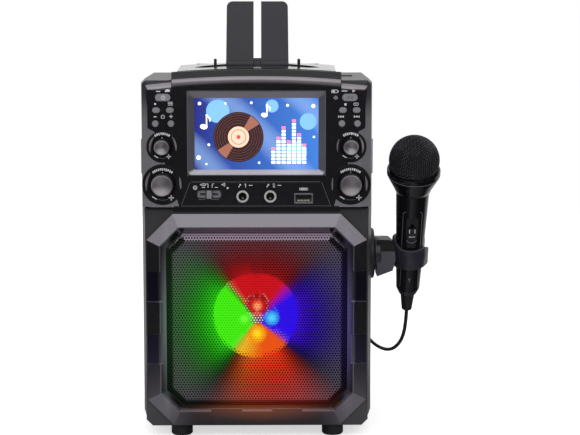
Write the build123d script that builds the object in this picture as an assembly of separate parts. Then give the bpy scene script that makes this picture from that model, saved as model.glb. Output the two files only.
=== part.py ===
"""Karaoke machine with a top-loading disc player, a colour screen and a microphone in a swivel clip.

Millimetres, +Z up. Everything is drawn in the cabinet's frame: X to the right, Y to the back,
Z up from the floor, with X = 0 on the cabinet's centre plane and Y = 0 on its front face.
save() then moves each piece so that the origin is the bottom centre of the whole machine,
microphone included.
"""

import math
import os

from build123d import *

# ---------------------------------------------------------------- driving dimensions
CABINET_WIDTH = 183.0
CABINET_DEPTH = 150.0
FRONT_WIDTH = 175.0  # across the front corner plates, where the sides start to flare
CONSOLE_FRONT = 177.8  # across the console where its rolled front corners end
FLARE_END = 40.0  # the depth where the sides reach full width
WALL = 2.5
FOOT_HEIGHT = 9.5
FOOT_RADIUS = 8.5
CORNER_RADIUS = 5.0
SEAM = 184.0  # height where the console stands on the speaker cabinet
SHOULDER = 282.0  # height of the console's two level shoulders
REAR_SPLIT = 131.0  # depth where the rear cover starts
PLATE_FRONT = 5.0  # front face of the baffle's corner plates
PLATE_BACK = 12.0

# The octagonal grille frame: half width, lowest and highest Z, chamfer of each outline
FRAME_OUTER = (86.0, 10.4, 178.4, 20.5)
FRAME_RIDGE = (76.0, 21.3, 168.3, 15.0)
FRAME_OPENING = (71.0, 25.9, 163.2, 12.0)
GRILLE_FACE = (65.5, 31.0, 157.0, 10.0)
SIDE_RECESS = (73.6, 2.8)  # X and depth of the stepped segments' inner edge on both sides
BOTTOM_RECESS = (23.6, 2.4)  # Z and depth of the same edge at the bottom
RECESS_EDGE = 4.4  # their depth at the frame's outer edge
SIDE_STEPS = ((109.3, 133.5), (59.9, 83.4))  # Z ranges of the stepped side segments
BOTTOM_STEPS = ((-36.0, -12.0), (11.7, 35.2))  # X ranges of the stepped bottom segments

SPEAKER_Z = 94.5
SPEAKER_RADIUS = 38.0
LIGHT_RING = 11.0  # the four lights stand this far from the speaker's axis

SCREEN_WINDOW = (48.0, 212.7, 268.4)  # half width, lowest and highest Z
SCREEN_FRAME = (53.6, 208.6, 274.2)
ARCH_HALF = 65.4  # half width of the hood and of every arched band under it
PANEL_THICKNESS = 2.2
LEDGE = 1.2  # how far the console's front wall reaches under the panel's edge

KNOB_X = 72.7
SMALL_KNOB = (230.9, 11.6, 6.05)  # height, dial radius, cap radius
LARGE_KNOB = (201.6, 15.2, 8.5)
KNOB_REACH = 11.0
BUTTON_PROUD = 1.2
BUTTON_GAP = 0.3
JACKS_X = (-10.9, 10.6)
JACK_Z = 192.4
JACK_BORE = 3.25  # radius, for a 6.35 mm plug
USB_PLACE = (36.4, 190.8)
USB_SIZE = (14.5, 8.1)
SWITCH_PLACE = (-36.8, 193.9)
SWITCH_SIZE = (19.7, 7.2)

DISC_Y = 78.0  # the disc's axis
WELL_RADIUS = 61.5
WELL_FLOOR = 270.6
SPINDLE_RADIUS = 7.4  # goes into a disc's 15 mm hole
TURNTABLE_TOP = 273.7

DOOR_FRONT = 12.5
DOOR_REAR = 142.0
DOOR_HALF_FRONT = 61.4
DOOR_HALF_REAR = 65.2
DOOR_RIM = 282.5
DOOR_SIDE_TOP = 288.4
DOOR_CROWN = 290.9
DOOR_AXIS = (145.0, 286.5)  # Y, Z
STAND_AXIS = (110.0, 290.3)  # Y, Z
STAND_LEAN = 15.0
STAND_LENGTH = 54.0
STAND_HALF = 26.0
STAND_SLOT = 6.3
STAND_LUG = 2.9  # half width of the lid's lug, which stands in the slot and carries the pin
PINS_PLACE = (34.0, 81.0)

OPEN_BUTTON = (67.6, 77.6, 74.0, 104.0)  # X and Y ranges on the right shoulder

HOLDER_PIVOT = (60.0, 139.0)  # Y, Z of the swivel on the right side
CLIP_CENTRE = (123.9, 61.0, 134.7)
MIC_LEAN = 25.3
MIC_BALL = 20.2
MIC_HEAD_S = 92.6  # along the microphone from the clip's centre
CORD_RADIUS = 1.5
HOOK_PLACE = (77.0, 58.0)  # X, Z of the cord's way through the hook on the rear cover
HOOK_DEPTH = 14.0

# The origin is the bottom centre of everything but the cord
KNOB_FRONT = -KNOB_REACH
HOOK_REAR = CABINET_DEPTH + HOOK_DEPTH
MIC_SIDE = CLIP_CENTRE[0] + 21.2
ORIGIN_X = (MIC_SIDE - CABINET_WIDTH / 2) / 2
ORIGIN_Y = (KNOB_FRONT + HOOK_REAR) / 2

HALF = CABINET_WIDTH / 2
HALF_FRONT = FRONT_WIDTH / 2

os.makedirs("parts", exist_ok=True)


def save(name, *shapes):
    """Writes one piece, or one group of like pieces, as parts/NAME.step."""
    solids = [s for shape in shapes for s in shape.solids()]
    moved = [s.moved(Location((-ORIGIN_X, -ORIGIN_Y, 0))) for s in solids]
    out = moved[0] if len(moved) == 1 else Compound(children=moved)
    out.label = name
    export_step(out, f"parts/{name}.step")


# ---------------------------------------------------------------- small helpers
def box(x0, x1, y0, y1, z0, z1):
    return Pos((x0 + x1) / 2, (y0 + y1) / 2, (z0 + z1) / 2) * Box(x1 - x0, y1 - y0, z1 - z0)


def front_plane(y):
    """A sketch plane facing the front: its x is X, its y is Z, and extrude(+) goes back."""
    return Plane(origin=(0, y, 0), x_dir=(1, 0, 0), z_dir=(0, -1, 0))


def slab(sketch, y0, y1):
    """A sketch of the front view, in X and Z, as a slab from depth y0 to y1."""
    return extrude(front_plane(y0) * sketch, amount=-(y1 - y0))


def rod_y(x, z, radius, y0, y1):
    return Pos(x, (y0 + y1) / 2, z) * Rot(90, 0, 0) * Cylinder(radius, y1 - y0)


def rod_x(y, z, radius, x0, x1):
    return Pos((x0 + x1) / 2, y, z) * Rot(0, 90, 0) * Cylinder(radius, x1 - x0)


def rod_z(x, y, radius, z0, z1):
    return Pos(x, y, (z0 + z1) / 2) * Cylinder(radius, z1 - z0)


def polygon(points):
    return make_face(Polyline(*points, close=True))


def mirrored(points):
    """The outline of the right half, from the bottom up, closed by its mirror image."""
    return polygon(list(points) + [(-x, z) for x, z in reversed(points)])


def octagon(half, low, high, chamfer):
    return mirrored([(half - chamfer, low), (half, low + chamfer),
                     (half, high - chamfer), (half - chamfer, high)])


def funnel(front, y_front, back, y_back):
    """A straight-sided loft between two outlines of the front view."""
    return loft([front_plane(y_front) * front, front_plane(y_back) * back], ruled=True)


def revolved_y(x, z, points):
    """Turns (radius, depth) points about the axis along Y through x, z."""
    profile = Plane((x, 0, z), x_dir=(1, 0, 0), z_dir=(0, 0, 1)) * polygon(points)
    return revolve(profile, axis=Axis((x, 0, z), (0, 1, 0)), revolution_arc=360)


def arch(x, crown, side):
    """Height at x of an arch that is crown high at the centre and side high at the ends."""
    return side + (crown - side) * (1 - (x / ARCH_HALF) ** 2)


def arched_strip(half, low, high, y0, y1):
    """A band between two arches, each (height at the centre, height at the ends)."""
    ends = [(-half, arch(half, *low)), (half, arch(half, *low))]
    tops = [(half, arch(half, *high)), (-half, arch(half, *high))]
    edges = [
        ThreePointArc(ends[0], (0, low[0]), ends[1]),
        Line(ends[1], tops[0]),
        ThreePointArc(tops[0], (0, high[0]), tops[1]),
        Line(tops[1], ends[0]),
    ]
    return slab(make_face(edges), y0, y1)


# ---------------------------------------------------------------- speaker cabinet
def cabinet_outline(half, low, high, radius):
    return mirrored([(half - radius, low), (half - 0.3 * radius, low + 0.3 * radius),
                     (half, low + radius), (half, high)])


def flared(y0, y1, inset, low, high, radius):
    """The cabinet's body between two depths, flared to full width at FLARE_END."""
    start = HALF_FRONT + (HALF - HALF_FRONT) * (y0 - PLATE_BACK) / (FLARE_END - PLATE_BACK)
    front = cabinet_outline(start - inset, low, high, radius)
    full = cabinet_outline(HALF - inset, low, high, radius)
    return funnel(front, y0, full, FLARE_END) + slab(full, FLARE_END, y1)


def make_main_shell():
    outer = flared(PLATE_BACK, REAR_SPLIT, 0, FOOT_HEIGHT, SEAM, CORNER_RADIUS)
    hollow = flared(PLATE_BACK, REAR_SPLIT, WALL, FOOT_HEIGHT + WALL, SEAM - WALL, CORNER_RADIUS)
    wire_way = box(-50, -25, 100, 112, SEAM - 3 * WALL, SEAM + WALL)
    shell = outer - hollow - wire_way
    for low, high in SIDE_STEPS:  # rugged blocks down both sides
        for side in (-1, 1):
            block = box(HALF - 1, HALF + 0.5, 96, 118, low + 1.5, high - 1.5)
            shell += block if side > 0 else mirror(block, about=Plane.YZ)
    return shell


def make_baffle():
    """The front plate: corner plates, the recess that the grille lies in and the speaker's hole."""
    outline = mirrored([(82.5, FOOT_HEIGHT), (87.5, 14.5), (86.2, 32.0),
                        (86.2, 158.0), (HALF_FRONT, SEAM - 1.5)])
    plate = slab(outline, PLATE_FRONT, PLATE_BACK)
    recess = slab(octagon(*FRAME_OPENING), PLATE_FRONT, PLATE_FRONT + 3)
    hole = rod_y(0, SPEAKER_Z, SPEAKER_RADIUS, PLATE_FRONT, PLATE_BACK + 1)
    return plate - recess - hole


def make_grille_frame():
    """A faceted octagonal ring: outer facets rise to a ridge, inner ones fall to the opening."""
    outer = octagon(*FRAME_OUTER)
    ridge = octagon(*FRAME_RIDGE)
    half, low, high, chamfer = FRAME_RIDGE
    inner_ridge = octagon(half - 0.8, low + 0.8, high - 0.8, chamfer - 0.4)
    opening = octagon(*FRAME_OPENING)
    body = funnel(ridge, 0, outer, 2.8) + slab(outer, 2.8, PLATE_FRONT)
    ring = body - funnel(inner_ridge, 0, opening, PLATE_FRONT)
    inner, depth = SIDE_RECESS
    edge = FRAME_OUTER[0] + 1
    wedge = polygon([(inner, -1), (edge, -1), (edge, RECESS_EDGE), (inner, depth)])
    for z0, z1 in SIDE_STEPS:
        cut = Pos(0, 0, z0) * extrude(wedge, amount=z1 - z0)
        ring -= cut
        ring -= mirror(cut, about=Plane.YZ)
    inner, depth = BOTTOM_RECESS
    edge = FRAME_OUTER[1] - 1
    wedge = Plane.YZ * polygon([(-1, inner), (-1, edge), (RECESS_EDGE, edge), (depth, inner)])
    for x0, x1 in BOTTOM_STEPS:
        ring -= Pos(x0, 0, 0) * extrude(wedge, amount=x1 - x0)
    return ring


def make_speaker_grille():
    """A pressed steel tray with sloped sides."""
    half, low, high, chamfer = FRAME_OPENING
    edge = octagon(half - 0.4, low + 0.4, high - 0.4, chamfer)
    tray = funnel(octagon(*GRILLE_FACE), 1.5, edge, 7.0)
    return tray - tray.moved(Location((0, 1.0, 0)))


def make_speaker():
    """The steel basket with its magnet, and the cone with its surround and dust cap."""
    z = SPEAKER_Z
    flange = [(35.5, 12), (46, 12), (46, 14), (38, 14), (22, 40), (19, 40), (35.5, 14)]
    basket = revolved_y(0, z, flange)
    for turn in range(6):
        window = box(23, 33, 17, 34, z - 7, z + 7)
        basket -= window.rotate(Axis((0, 0, z), (0, 1, 0)), 60 * turn + 30)
    plate = rod_y(0, z, 22, 40, 44)
    magnet = rod_y(0, z, 27, 44, 56)
    cone = revolved_y(0, z, [(35.5, 12), (35.5, 13), (33, 12.2), (30.5, 13), (11, 29), (0, 26.5),
                             (0, 25.5), (10.5, 28), (30.5, 12), (33, 11), (35.3, 12)])
    return basket + plate + magnet, cone


def make_light_bracket():
    """An upright bar across the speaker with a round carrier for the four lights."""
    bar = box(-4.5, 4.5, 6.4, 8.0, 37, 152)
    carrier = rod_y(0, SPEAKER_Z, 16, 6.4, 7.9)
    bracket = bar + carrier
    for x, z in light_places():
        bracket -= rod_y(x, z, 2.5, 6, 9)
    return bracket


def light_places():
    """Top, right, bottom and left of the speaker's axis."""
    for turn in range(4):
        angle = math.radians(90 - 90 * turn)
        yield LIGHT_RING * math.cos(angle), SPEAKER_Z + LIGHT_RING * math.sin(angle)


def make_light(x, z):
    return rod_y(x, z, 2.5, 4.2, 8.2) + Pos(x, 4.2, z) * Sphere(1.6)


def make_feet():
    for x in (-60, 60):
        for y in (17, CABINET_DEPTH - 17):
            foot = rod_z(x, y, FOOT_RADIUS, 0, FOOT_HEIGHT)
            yield chamfer(foot.edges().group_by(Axis.Z)[0], 1.2)


# ---------------------------------------------------------------- console
def console_plan(inset, front):
    """The console from above, with its front corners rolled back."""
    flat, roll = 81.0 - inset, CONSOLE_FRONT / 2 - inset
    full, back = HALF - inset, REAR_SPLIT
    points = [(-flat, front), (flat, front), (roll, front + 5.5), (full, FLARE_END),
              (full, back), (-full, back), (-full, FLARE_END), (-roll, front + 5.5)]
    return polygon(points)


def panel_outline(inset=0.0):
    """The black control panel: a keystone with a round lobe behind each knob."""
    i = inset
    sides = mirrored([(60 - i, SEAM + 0.6 + i), (66 - i, 205), (71 - i, 219), (78.6 - i, 242.4 + i),
                      (84 - i, 245.6), (84 - i, 262), (85.2 - i, 274.5 - i), (65.4 - i, 274.5 - i),
                      (65.4 - i, 277.0 - i)])
    ends, crown = 65.4 - i, 279.9 - i
    cap = make_face([ThreePointArc((-ends, 277.0 - i), (0, crown), (ends, 277.0 - i)),
                     Line((ends, 277.0 - i), (-ends, 277.0 - i))])
    outline = sides + cap
    for x in (-KNOB_X, KNOB_X):
        for height, dial, _ in (SMALL_KNOB, LARGE_KNOB):
            outline += Pos(x, height) * Circle(dial + 0.7 - i)
    return outline


def knob_bosses(y0, y1, extra):
    parts = [rod_y(x, height, dial + extra, y0, y1)
             for x in (-KNOB_X, KNOB_X) for height, dial, _ in (SMALL_KNOB, LARGE_KNOB)]
    return parts[0] + parts[1:]


def make_console_shell():
    top = SHOULDER
    body = Pos(0, 0, SEAM) * extrude(console_plan(0, 0), amount=top - SEAM)
    body = chamfer(body.edges().filter_by(Axis.Y).sort_by(Axis.Z)[-2:], 3.0)
    hood = arched_strip(65.4, (277.0, 276.0), (290.2, 288.2), 0.0, 12.0)
    slope = Plane.YZ * polygon([(-1, 291.5), (-1, 284.2), (0, 284.2), (6, 291.5)])
    hood -= extrude(slope, amount=80, both=True)
    brow_cut = Plane.YZ * polygon([(-1, 283), (-1, 275.2), (0, 275.2), (4.5, 283)])
    body -= extrude(brow_cut, amount=100, both=True)
    body += hood
    hollow = Pos(0, 0, SEAM - 1) * extrude(console_plan(WALL, PANEL_THICKNESS + 2),
                                           amount=top - SEAM - WALL + 1)
    body -= hollow
    outline = panel_outline()
    body -= slab(outline, -1, PANEL_THICKNESS)
    body -= slab(panel_outline(LEDGE), 0, 30)
    body -= knob_bosses(-1, 7.0, 0.7)
    body -= rod_z(0, DISC_Y, WELL_RADIUS + 0.3, SHOULDER - 5, SHOULDER + 1)
    body -= open_button_block(0.3, SHOULDER - 5, SHOULDER + 1)
    for side in (-1, 1):  # bulged side panels
        bulge = box(HALF - 1, HALF + 1.1, 46, 122, 205, 234)
        bulge = chamfer(bulge.edges().filter_by(Axis.Y).sort_by(Axis.X)[-2:], 1.0)
        body += bulge if side > 0 else mirror(bulge, about=Plane.YZ)
    return body


def open_button_block(grow, z0, z1):
    x0, x1, y0, y1 = OPEN_BUTTON
    block = box(x0 - grow, x1 + grow, y0 - grow, y1 + grow, z0, z1)
    return fillet(block.edges().filter_by(Axis.Z), 3.0)


def make_open_button():
    x0, x1, y0, y1 = OPEN_BUTTON
    cap = open_button_block(0, SHOULDER - 4.5, SHOULDER + 0.8)
    flange = box(x0, x1, y0 - 1.5, y1 + 1.5, SHOULDER - 4.5, SHOULDER - WALL - 0.3)
    return cap + flange


def jack_plate_outline():
    """The trapezoid at the panel's foot that carries the sockets and the slide switch."""
    return mirrored([(58.5, SEAM + 0.6), (51.5, 203.2)])


def make_control_panel():
    outline = panel_outline()
    panel = slab(outline, 0, PANEL_THICKNESS) + knob_bosses(0, 7.0, 0.7)
    half, low, high = SCREEN_FRAME
    panel -= box(-half, half, -1, 9, low, high)
    panel -= slab(jack_plate_outline(), -1, 9)
    for x in (-KNOB_X, KNOB_X):
        for height, _, cap in (SMALL_KNOB, LARGE_KNOB):
            panel -= rod_y(x, height, 3.05, -1, 8)
            panel -= rod_y(x, height, cap + 2.0, -1, 1.5)
    for place in BUTTONS.values():
        panel -= slab(button_outline(place, BUTTON_GAP), -1, 9)
    panel -= rod_y(POWER_LIGHT[0], POWER_LIGHT[1], 1.5, -1, 9)
    for ring in dial_rings():
        panel += ring
    return panel


def make_jack_plate():
    """Let into the panel's foot, with a V-groove where the two meet."""
    plate = slab(jack_plate_outline(), 0, PANEL_THICKNESS)
    plate = chamfer(plate.edges().group_by(Axis.Y)[0], 0.35)
    for x in JACKS_X:
        plate -= rod_y(x, JACK_Z, 3.9, -1, 9)
    x, z = USB_PLACE
    plate -= box(x - USB_SIZE[0] / 2, x + USB_SIZE[0] / 2, -1, 9,
                 z - USB_SIZE[1] / 2, z + USB_SIZE[1] / 2)
    return plate - slab(switch_outline(0), -1, 9)


# Each button: X, Z, width, height
BUTTONS = {
    "button_power": (-72.0, 269.0, 12.0, 5.7),
    "button_record": (-77.2, 259.3, 6.0, 4.4),
    "button_program": (-66.6, 259.3, 6.0, 4.4),
    "button_page_down": (-77.9, 248.9, 5.1, 5.1),
    "button_page_up": (-65.9, 248.9, 5.1, 5.1),
    "button_play": (72.0, 269.0, 12.0, 5.7),
    "button_stop": (66.6, 259.3, 6.0, 4.4),
    "button_pair": (77.2, 259.3, 6.0, 4.4),
    "button_back": (65.9, 248.9, 5.1, 5.1),
    "button_next": (77.9, 248.9, 5.1, 5.1),
}
POWER_LIGHT = (61.1, 268.7)


def capsule(width, height):
    """A round button where width and height are equal, and a slot shape where they aren't."""
    if abs(width - height) < 0.01:
        return Circle(width / 2)
    return SlotOverall(width, height)


def button_outline(place, grow):
    x, z, width, height = place
    return Pos(x, z) * capsule(width + 2 * grow, height + 2 * grow)


def make_button(place):
    """A cap with a crowned edge and, behind the panel, ears that keep it in."""
    x, z, width, height = place
    cap = slab(button_outline(place, 0), -BUTTON_PROUD, PANEL_THICKNESS + 1.2)
    cap = chamfer(cap.edges().group_by(Axis.Y)[0], 0.4)
    ears = box(x - width / 4, x + width / 4, PANEL_THICKNESS + 0.3, PANEL_THICKNESS + 1.2,
               z - height / 2 - 0.9, z + height / 2 + 0.9)
    return cap + ears


def make_knob(x, place):
    """A flared skirt, a domed cap and the shaft that goes back into the control."""
    height, _, cap = place
    reach = KNOB_REACH
    points = [(0, -reach), (cap * 0.6, -reach + 0.35), (cap - 0.7, -reach + 1.1), (cap, -reach + 2.2),
              (cap, -5.0), (cap + 0.9, -1.0), (cap + 1.6, 0.4), (cap + 1.6, 1.1), (3.0, 1.1),
              (3.0, 16.0), (0, 16.0)]
    knob = revolved_y(x, height, points)
    return knob - box(x - 0.4, x + 0.4, -reach - 1, -reach + 1.6, height + cap * 0.35, height + cap + 1)


def dial_rings():
    """A raised ring round each knob, open at the bottom between its two end marks."""
    for x in (-KNOB_X, KNOB_X):
        for height, dial, cap in (SMALL_KNOB, LARGE_KNOB):
            ring = rod_y(x, height, dial - 0.3, -0.7, 0) - rod_y(x, height, dial - 2.2, -1, 1)
            yield ring - box(x - 2.2, x + 2.2, -1, 1, height - dial - 1, height)


def make_brow():
    """The grey arched band under the hood."""
    return arched_strip(65.0, (280.4, 277.5), (285.4, 282.9), -1.4, 0.0)


def screen_rectangle(half, low, high, radius):
    return Pos(0, (low + high) / 2) * RectangleRounded(2 * half, high - low, radius)


def make_screen_bezel():
    half, low, high = SCREEN_FRAME
    window = screen_rectangle(*SCREEN_WINDOW, 0.8)
    lip = screen_rectangle(half - 0.8, low + 0.8, high - 0.8, 2.8)
    body = box(-half, half, 0, 5.6, low, high) + slab(screen_rectangle(half, low, high, 3.5), -1.0, 0)
    return body - funnel(lip, -1.0, window, 4.0) - slab(window, 4.0, 6.0)


def make_jack(x):
    """A panel jack: threaded bushing, ring nut and a body with its terminals."""
    z = JACK_Z
    body = box(x - 6.5, x + 6.5, PANEL_THICKNESS, 22, z - 6, z + 6)
    jack = body + rod_y(x, z, 3.9, -0.6, PANEL_THICKNESS) + rod_y(x, z, 4.7, -1.2, 0)
    return jack - rod_y(x, z, JACK_BORE, -2, 18)


def make_usb_port():
    x, z = USB_PLACE
    w, h = USB_SIZE
    port = box(x - w / 2, x + w / 2, -0.4, 14, z - h / 2, z + h / 2)
    port -= box(x - w / 2 + 1, x + w / 2 - 1, -1, 11, z - 2.4, z + 2.9)
    return port + box(x - w / 2 + 1.6, x + w / 2 - 1.6, 1.2, 11.5, z - 2.0, z - 0.4)


def switch_outline(grow):
    x, z = SWITCH_PLACE
    return Pos(x, z) * SlotOverall(SWITCH_SIZE[0] + 2 * grow, SWITCH_SIZE[1] + 2 * grow)


def make_switch_base():
    x, z = SWITCH_PLACE
    base = box(x - 12, x + 12, PANEL_THICKNESS, 8, z - 5, z + 5)
    base -= box(x - 10.2, x + 10.2, PANEL_THICKNESS + 1.4, 9, z - 3.8, z + 3.8)
    return base - box(x - 7.5, x + 7.5, 0, 9, z - 1.2, z + 1.2)


def make_function_slider():
    x, z = SWITCH_PLACE
    lever = box(x - 1.9, x + 1.9, -1.2, PANEL_THICKNESS - 0.3, z - 3.2, z + 3.2)
    stem = box(x - 1.2, x + 1.2, 1.0, 5.0, z - 0.8, z + 0.8)
    foot = box(x - 2.6, x + 2.6, PANEL_THICKNESS + 1.8, 5.6, z - 3.2, z + 3.2)
    return lever + stem + foot


# ---------------------------------------------------------------- disc player
def make_disc_deck():
    """The well that the disc lies in, with the carriers of the pickup's guide rods below."""
    y, floor = DISC_Y, WELL_FLOOR
    rim = SHOULDER - WALL
    deck = rod_z(0, y, WELL_RADIUS + 1.6, floor - 1.6, rim)
    deck += box(-66, 66, y - 61, y + 53, rim - 2, rim)
    deck += box(10, 74, y - 20, y + 20, floor - 1.6, floor)
    deck -= rod_z(0, y, WELL_RADIUS, floor, rim + 1)
    deck -= rod_z(0, y, 3.0, floor - 2, floor + 1)
    deck -= box(19, 61, y - 7, y + 7, floor - 2, floor + 1)
    for x0 in (13, 68):
        deck += box(x0, x0 + 4, y - 17, y + 17, floor - 10, floor - 1.6)
    for side in (-1, 1):
        deck -= rod_x(y + side * 14, floor - 6, 1.5, 12, 73)
    return deck


def make_guide_rods():
    for side in (-1, 1):
        yield rod_x(DISC_Y + side * 14, WELL_FLOOR - 6, 1.5, 13, 72)


def make_pickup_sled():
    """Carries the lens under the disc, on a round bore at one side and a fork at the other."""
    y, z = DISC_Y, WELL_FLOOR - 6
    sled = box(19, 33, y - 17, y + 17, z - 3, z + 3)
    sled -= rod_x(y - 14, z, 1.56, 10, 50)
    sled -= box(10, 50, y + 12.4, y + 20, z - 1.56, z + 1.56)
    lens = rod_z(26, y, 3.5, z + 3, z + 6.4)
    return sled + lens


def make_spindle_motor():
    y, top = DISC_Y, WELL_FLOOR - 1.6
    motor = rod_z(0, y, 11.5, top - 11, top)
    return motor - rod_z(0, y, 1.06, top - 8, top + 1)


def make_turntable():
    """The disc's seat, its centring boss with a coned top, and the motor's shaft."""
    top = TURNTABLE_TOP
    points = [(0, WELL_FLOOR - 9), (1.0, WELL_FLOOR - 9), (1.0, WELL_FLOOR + 0.8),
              (15, WELL_FLOOR + 0.8), (15, top), (SPINDLE_RADIUS, top), (SPINDLE_RADIUS, top + 2.4),
              (SPINDLE_RADIUS - 1.2, top + 3.3), (0, top + 3.3)]
    profile = Plane((0, DISC_Y, 0), x_dir=(1, 0, 0), z_dir=(0, -1, 0)) * polygon(points)
    return revolve(profile, axis=Axis((0, DISC_Y, 0), (0, 0, 1)), revolution_arc=360)


def door_arch(drop, y0, y1, half):
    """The door's crowned cross-section, lowered by drop."""
    top, crown = DOOR_SIDE_TOP - drop, DOOR_CROWN - drop
    edges = [Line((-half, DOOR_RIM), (half, DOOR_RIM)), Line((half, DOOR_RIM), (half, top)),
             ThreePointArc((half, top), (0, crown), (-half, top)), Line((-half, top), (-half, DOOR_RIM))]
    return slab(make_face(edges), y0, y1)


def door_plan(inset, z0, z1):
    front, rear = DOOR_HALF_FRONT - inset, DOOR_HALF_REAR - inset
    y0, y1 = DOOR_FRONT + inset, DOOR_REAR - inset
    return Pos(0, 0, z0) * extrude(polygon([(-front, y0), (front, y0), (rear, y1), (-rear, y1)]),
                                   amount=z1 - z0)


def make_door_panel():
    """The crowned lid: a lens-shaped hollow for the stand and pins, and two hinge arms."""
    lid = door_arch(0, DOOR_FRONT, DOOR_REAR, DOOR_HALF_REAR) & door_plan(0, 280, 300)
    hollow = door_arch(2.2, DOOR_FRONT, DOOR_REAR, DOOR_HALF_REAR) & door_plan(2.2, 282, 300)
    rim_open = door_plan(2.2, 281, DOOR_RIM + 0.1)
    lid = lid - hollow - rim_open
    lens = make_face([ThreePointArc((-50, 64), (0, 116.5), (50, 64)),
                      ThreePointArc((50, 64), (0, 30), (-50, 64))])
    lens_cut = Pos(0, 0, 280) * extrude(lens, amount=20)
    lid -= lens_cut - door_arch(1.1, 0, 150, DOOR_HALF_REAR)
    axis_y, axis_z = STAND_AXIS
    lid += box(-31, 31, axis_y - 8, axis_y + 8, DOOR_RIM + 1.0, DOOR_CROWN - 3.0)
    lid -= rod_x(axis_y, axis_z, 4.1, -STAND_HALF - 0.6, STAND_HALF + 0.6)
    lid -= box(-STAND_HALF - 0.6, STAND_HALF + 0.6, axis_y - 4.1, axis_y + 4.7, axis_z, axis_z + 4)
    lid += rod_x(axis_y, axis_z, 3.0, -STAND_LUG, STAND_LUG)
    lid += box(-STAND_LUG, STAND_LUG, axis_y - 3, axis_y + 3, DOOR_RIM + 2.0, axis_z)
    lid -= rod_x(axis_y, axis_z, 1.25, -31, 31)
    for x in (-PINS_PLACE[0], PINS_PLACE[0]):
        lid += rod_z(x, PINS_PLACE[1], 2.6, DOOR_RIM + 1.0, DOOR_CROWN - 2.2)
        lid -= rod_z(x, PINS_PLACE[1], 1.2, DOOR_RIM + 2.5, DOOR_CROWN + 1)
    hinge_y, hinge_z = DOOR_AXIS
    for side in (-1, 1):
        x0, x1 = sorted((side * 33, side * 53))
        lid -= box(x0, x1, 138.8, 150, 280, 300)
        x0, x1 = sorted((side * 38, side * 48))
        lid += box(x0, x1, 136.8, hinge_y, hinge_z - 2.3, hinge_z + 1.9)
        lid += rod_x(hinge_y, hinge_z, 3.2, x0, x1)
    return lid - rod_x(hinge_y, hinge_z, 1.27, -60, 60)


def make_stop_pins():
    x, y = PINS_PLACE
    for side in (-1, 1):
        pin = rod_z(side * x, y, 1.2, DOOR_RIM + 2.5, DOOR_CROWN + 5.0)
        yield chamfer(pin.edges().group_by(Axis.Z)[-1], 0.4)


def make_tablet_stand():
    """Two flat prongs, joined by a web over the lid's lug, each on its own barrel."""
    y, z = STAND_AXIS
    tip = STAND_LENGTH
    outline = polygon([(-STAND_HALF, 0), (STAND_HALF, 0), (STAND_HALF - 0.5, tip), (0.5 - STAND_HALF, tip)])
    outline = fillet(outline.vertices().group_by(Axis.Y)[-1], 5.0)
    outline -= Pos(0, tip / 2 + 6) * Rectangle(STAND_SLOT, tip + 1)
    prongs = extrude(outline, amount=-3.4)
    prongs = Pos(0, y, z) * Rot(90 - STAND_LEAN, 0, 0) * Pos(0, 0, -0.3) * prongs
    prongs += rod_x(y, z, 3.3, -STAND_HALF, STAND_HALF)
    prongs -= rod_x(y, z, 3.4, -STAND_SLOT / 2, STAND_SLOT / 2)
    return prongs - rod_x(y, z, 1.31, -30, 30)


# ---------------------------------------------------------------- rear cover and inside
def make_rear_cover():
    y0, y1 = REAR_SPLIT, CABINET_DEPTH
    low, top = FOOT_HEIGHT, SHOULDER
    outline = mirrored([(HALF - 5, low), (HALF, low + 5), (HALF, top - 3), (HALF - 3, top)])
    inner = mirrored([(HALF - 5 - WALL, low + WALL), (HALF - WALL, low + 5 + WALL),
                      (HALF - WALL, top - 3 - WALL), (HALF - 3 - WALL, top - WALL)])
    cover = slab(outline, y0, y1)
    cover = chamfer(cover.faces().sort_by(Axis.Y)[-1].edges(), 1.8)
    cover -= slab(inner, y0 - 1, y1 - WALL)
    for row in range(9):  # cooling slots
        z = 232 + 5.0 * row
        cover -= slab(Pos(0, z) * SlotOverall(70, 2.4), y1 - 2 * WALL, y1 + 1)
    for column in range(9):  # bass slots
        x = -40 + 10.0 * column
        cover -= slab(Pos(x, 92) * SlotOverall(60, 3.0, rotation=90), y1 - 2 * WALL, y1 + 1)
    for x, z, radius in REAR_SOCKETS:
        cover -= rod_y(x, z, radius, y1 - 2 * WALL, y1 + 1)
    for x, z in REAR_SCREWS:
        cover += rod_y(x, z, 5.0, y1 - 12, y1 - WALL)
        cover -= rod_y(x, z, 3.4, y1 - 6, y1 + 1)
    hinge_y, hinge_z = DOOR_AXIS
    for side in (-1, 1):
        for a, b in ((34.0, 37.6), (48.4, 52.0)):
            x0, x1 = sorted((side * a, side * b))
            cover += rod_x(hinge_y, hinge_z, 3.2, x0, x1)
            cover += box(x0, x1, hinge_y - 3.2, hinge_y + 3.2, SHOULDER - 1, hinge_z)
    return cover - rod_x(hinge_y, hinge_z, 1.2, -60, 60)


def make_cord_hook():
    """A hook stuck on the rear cover, which holds the microphone's cord near the right corner."""
    x, z = HOOK_PLACE
    y, tip = CABINET_DEPTH, CABINET_DEPTH + HOOK_DEPTH
    pad = box(x - 5, x + 5, y, y + 1.5, z - 8.5, z + 6.5)
    stem = box(x - 3, x + 3, y, tip, z - 5.5, z - 2.5)
    lip = box(x - 3, x + 3, tip - 3, tip, z - 5.5, z + 6.0)
    hook = stem + lip
    inner = hook.edges().filter_by(Axis.X).filter_by_position(Axis.Y, tip - 3.01, tip - 2.99)
    hook = fillet(inner.sort_by(Axis.Z)[0], 2.0)
    return pad + hook


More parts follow.
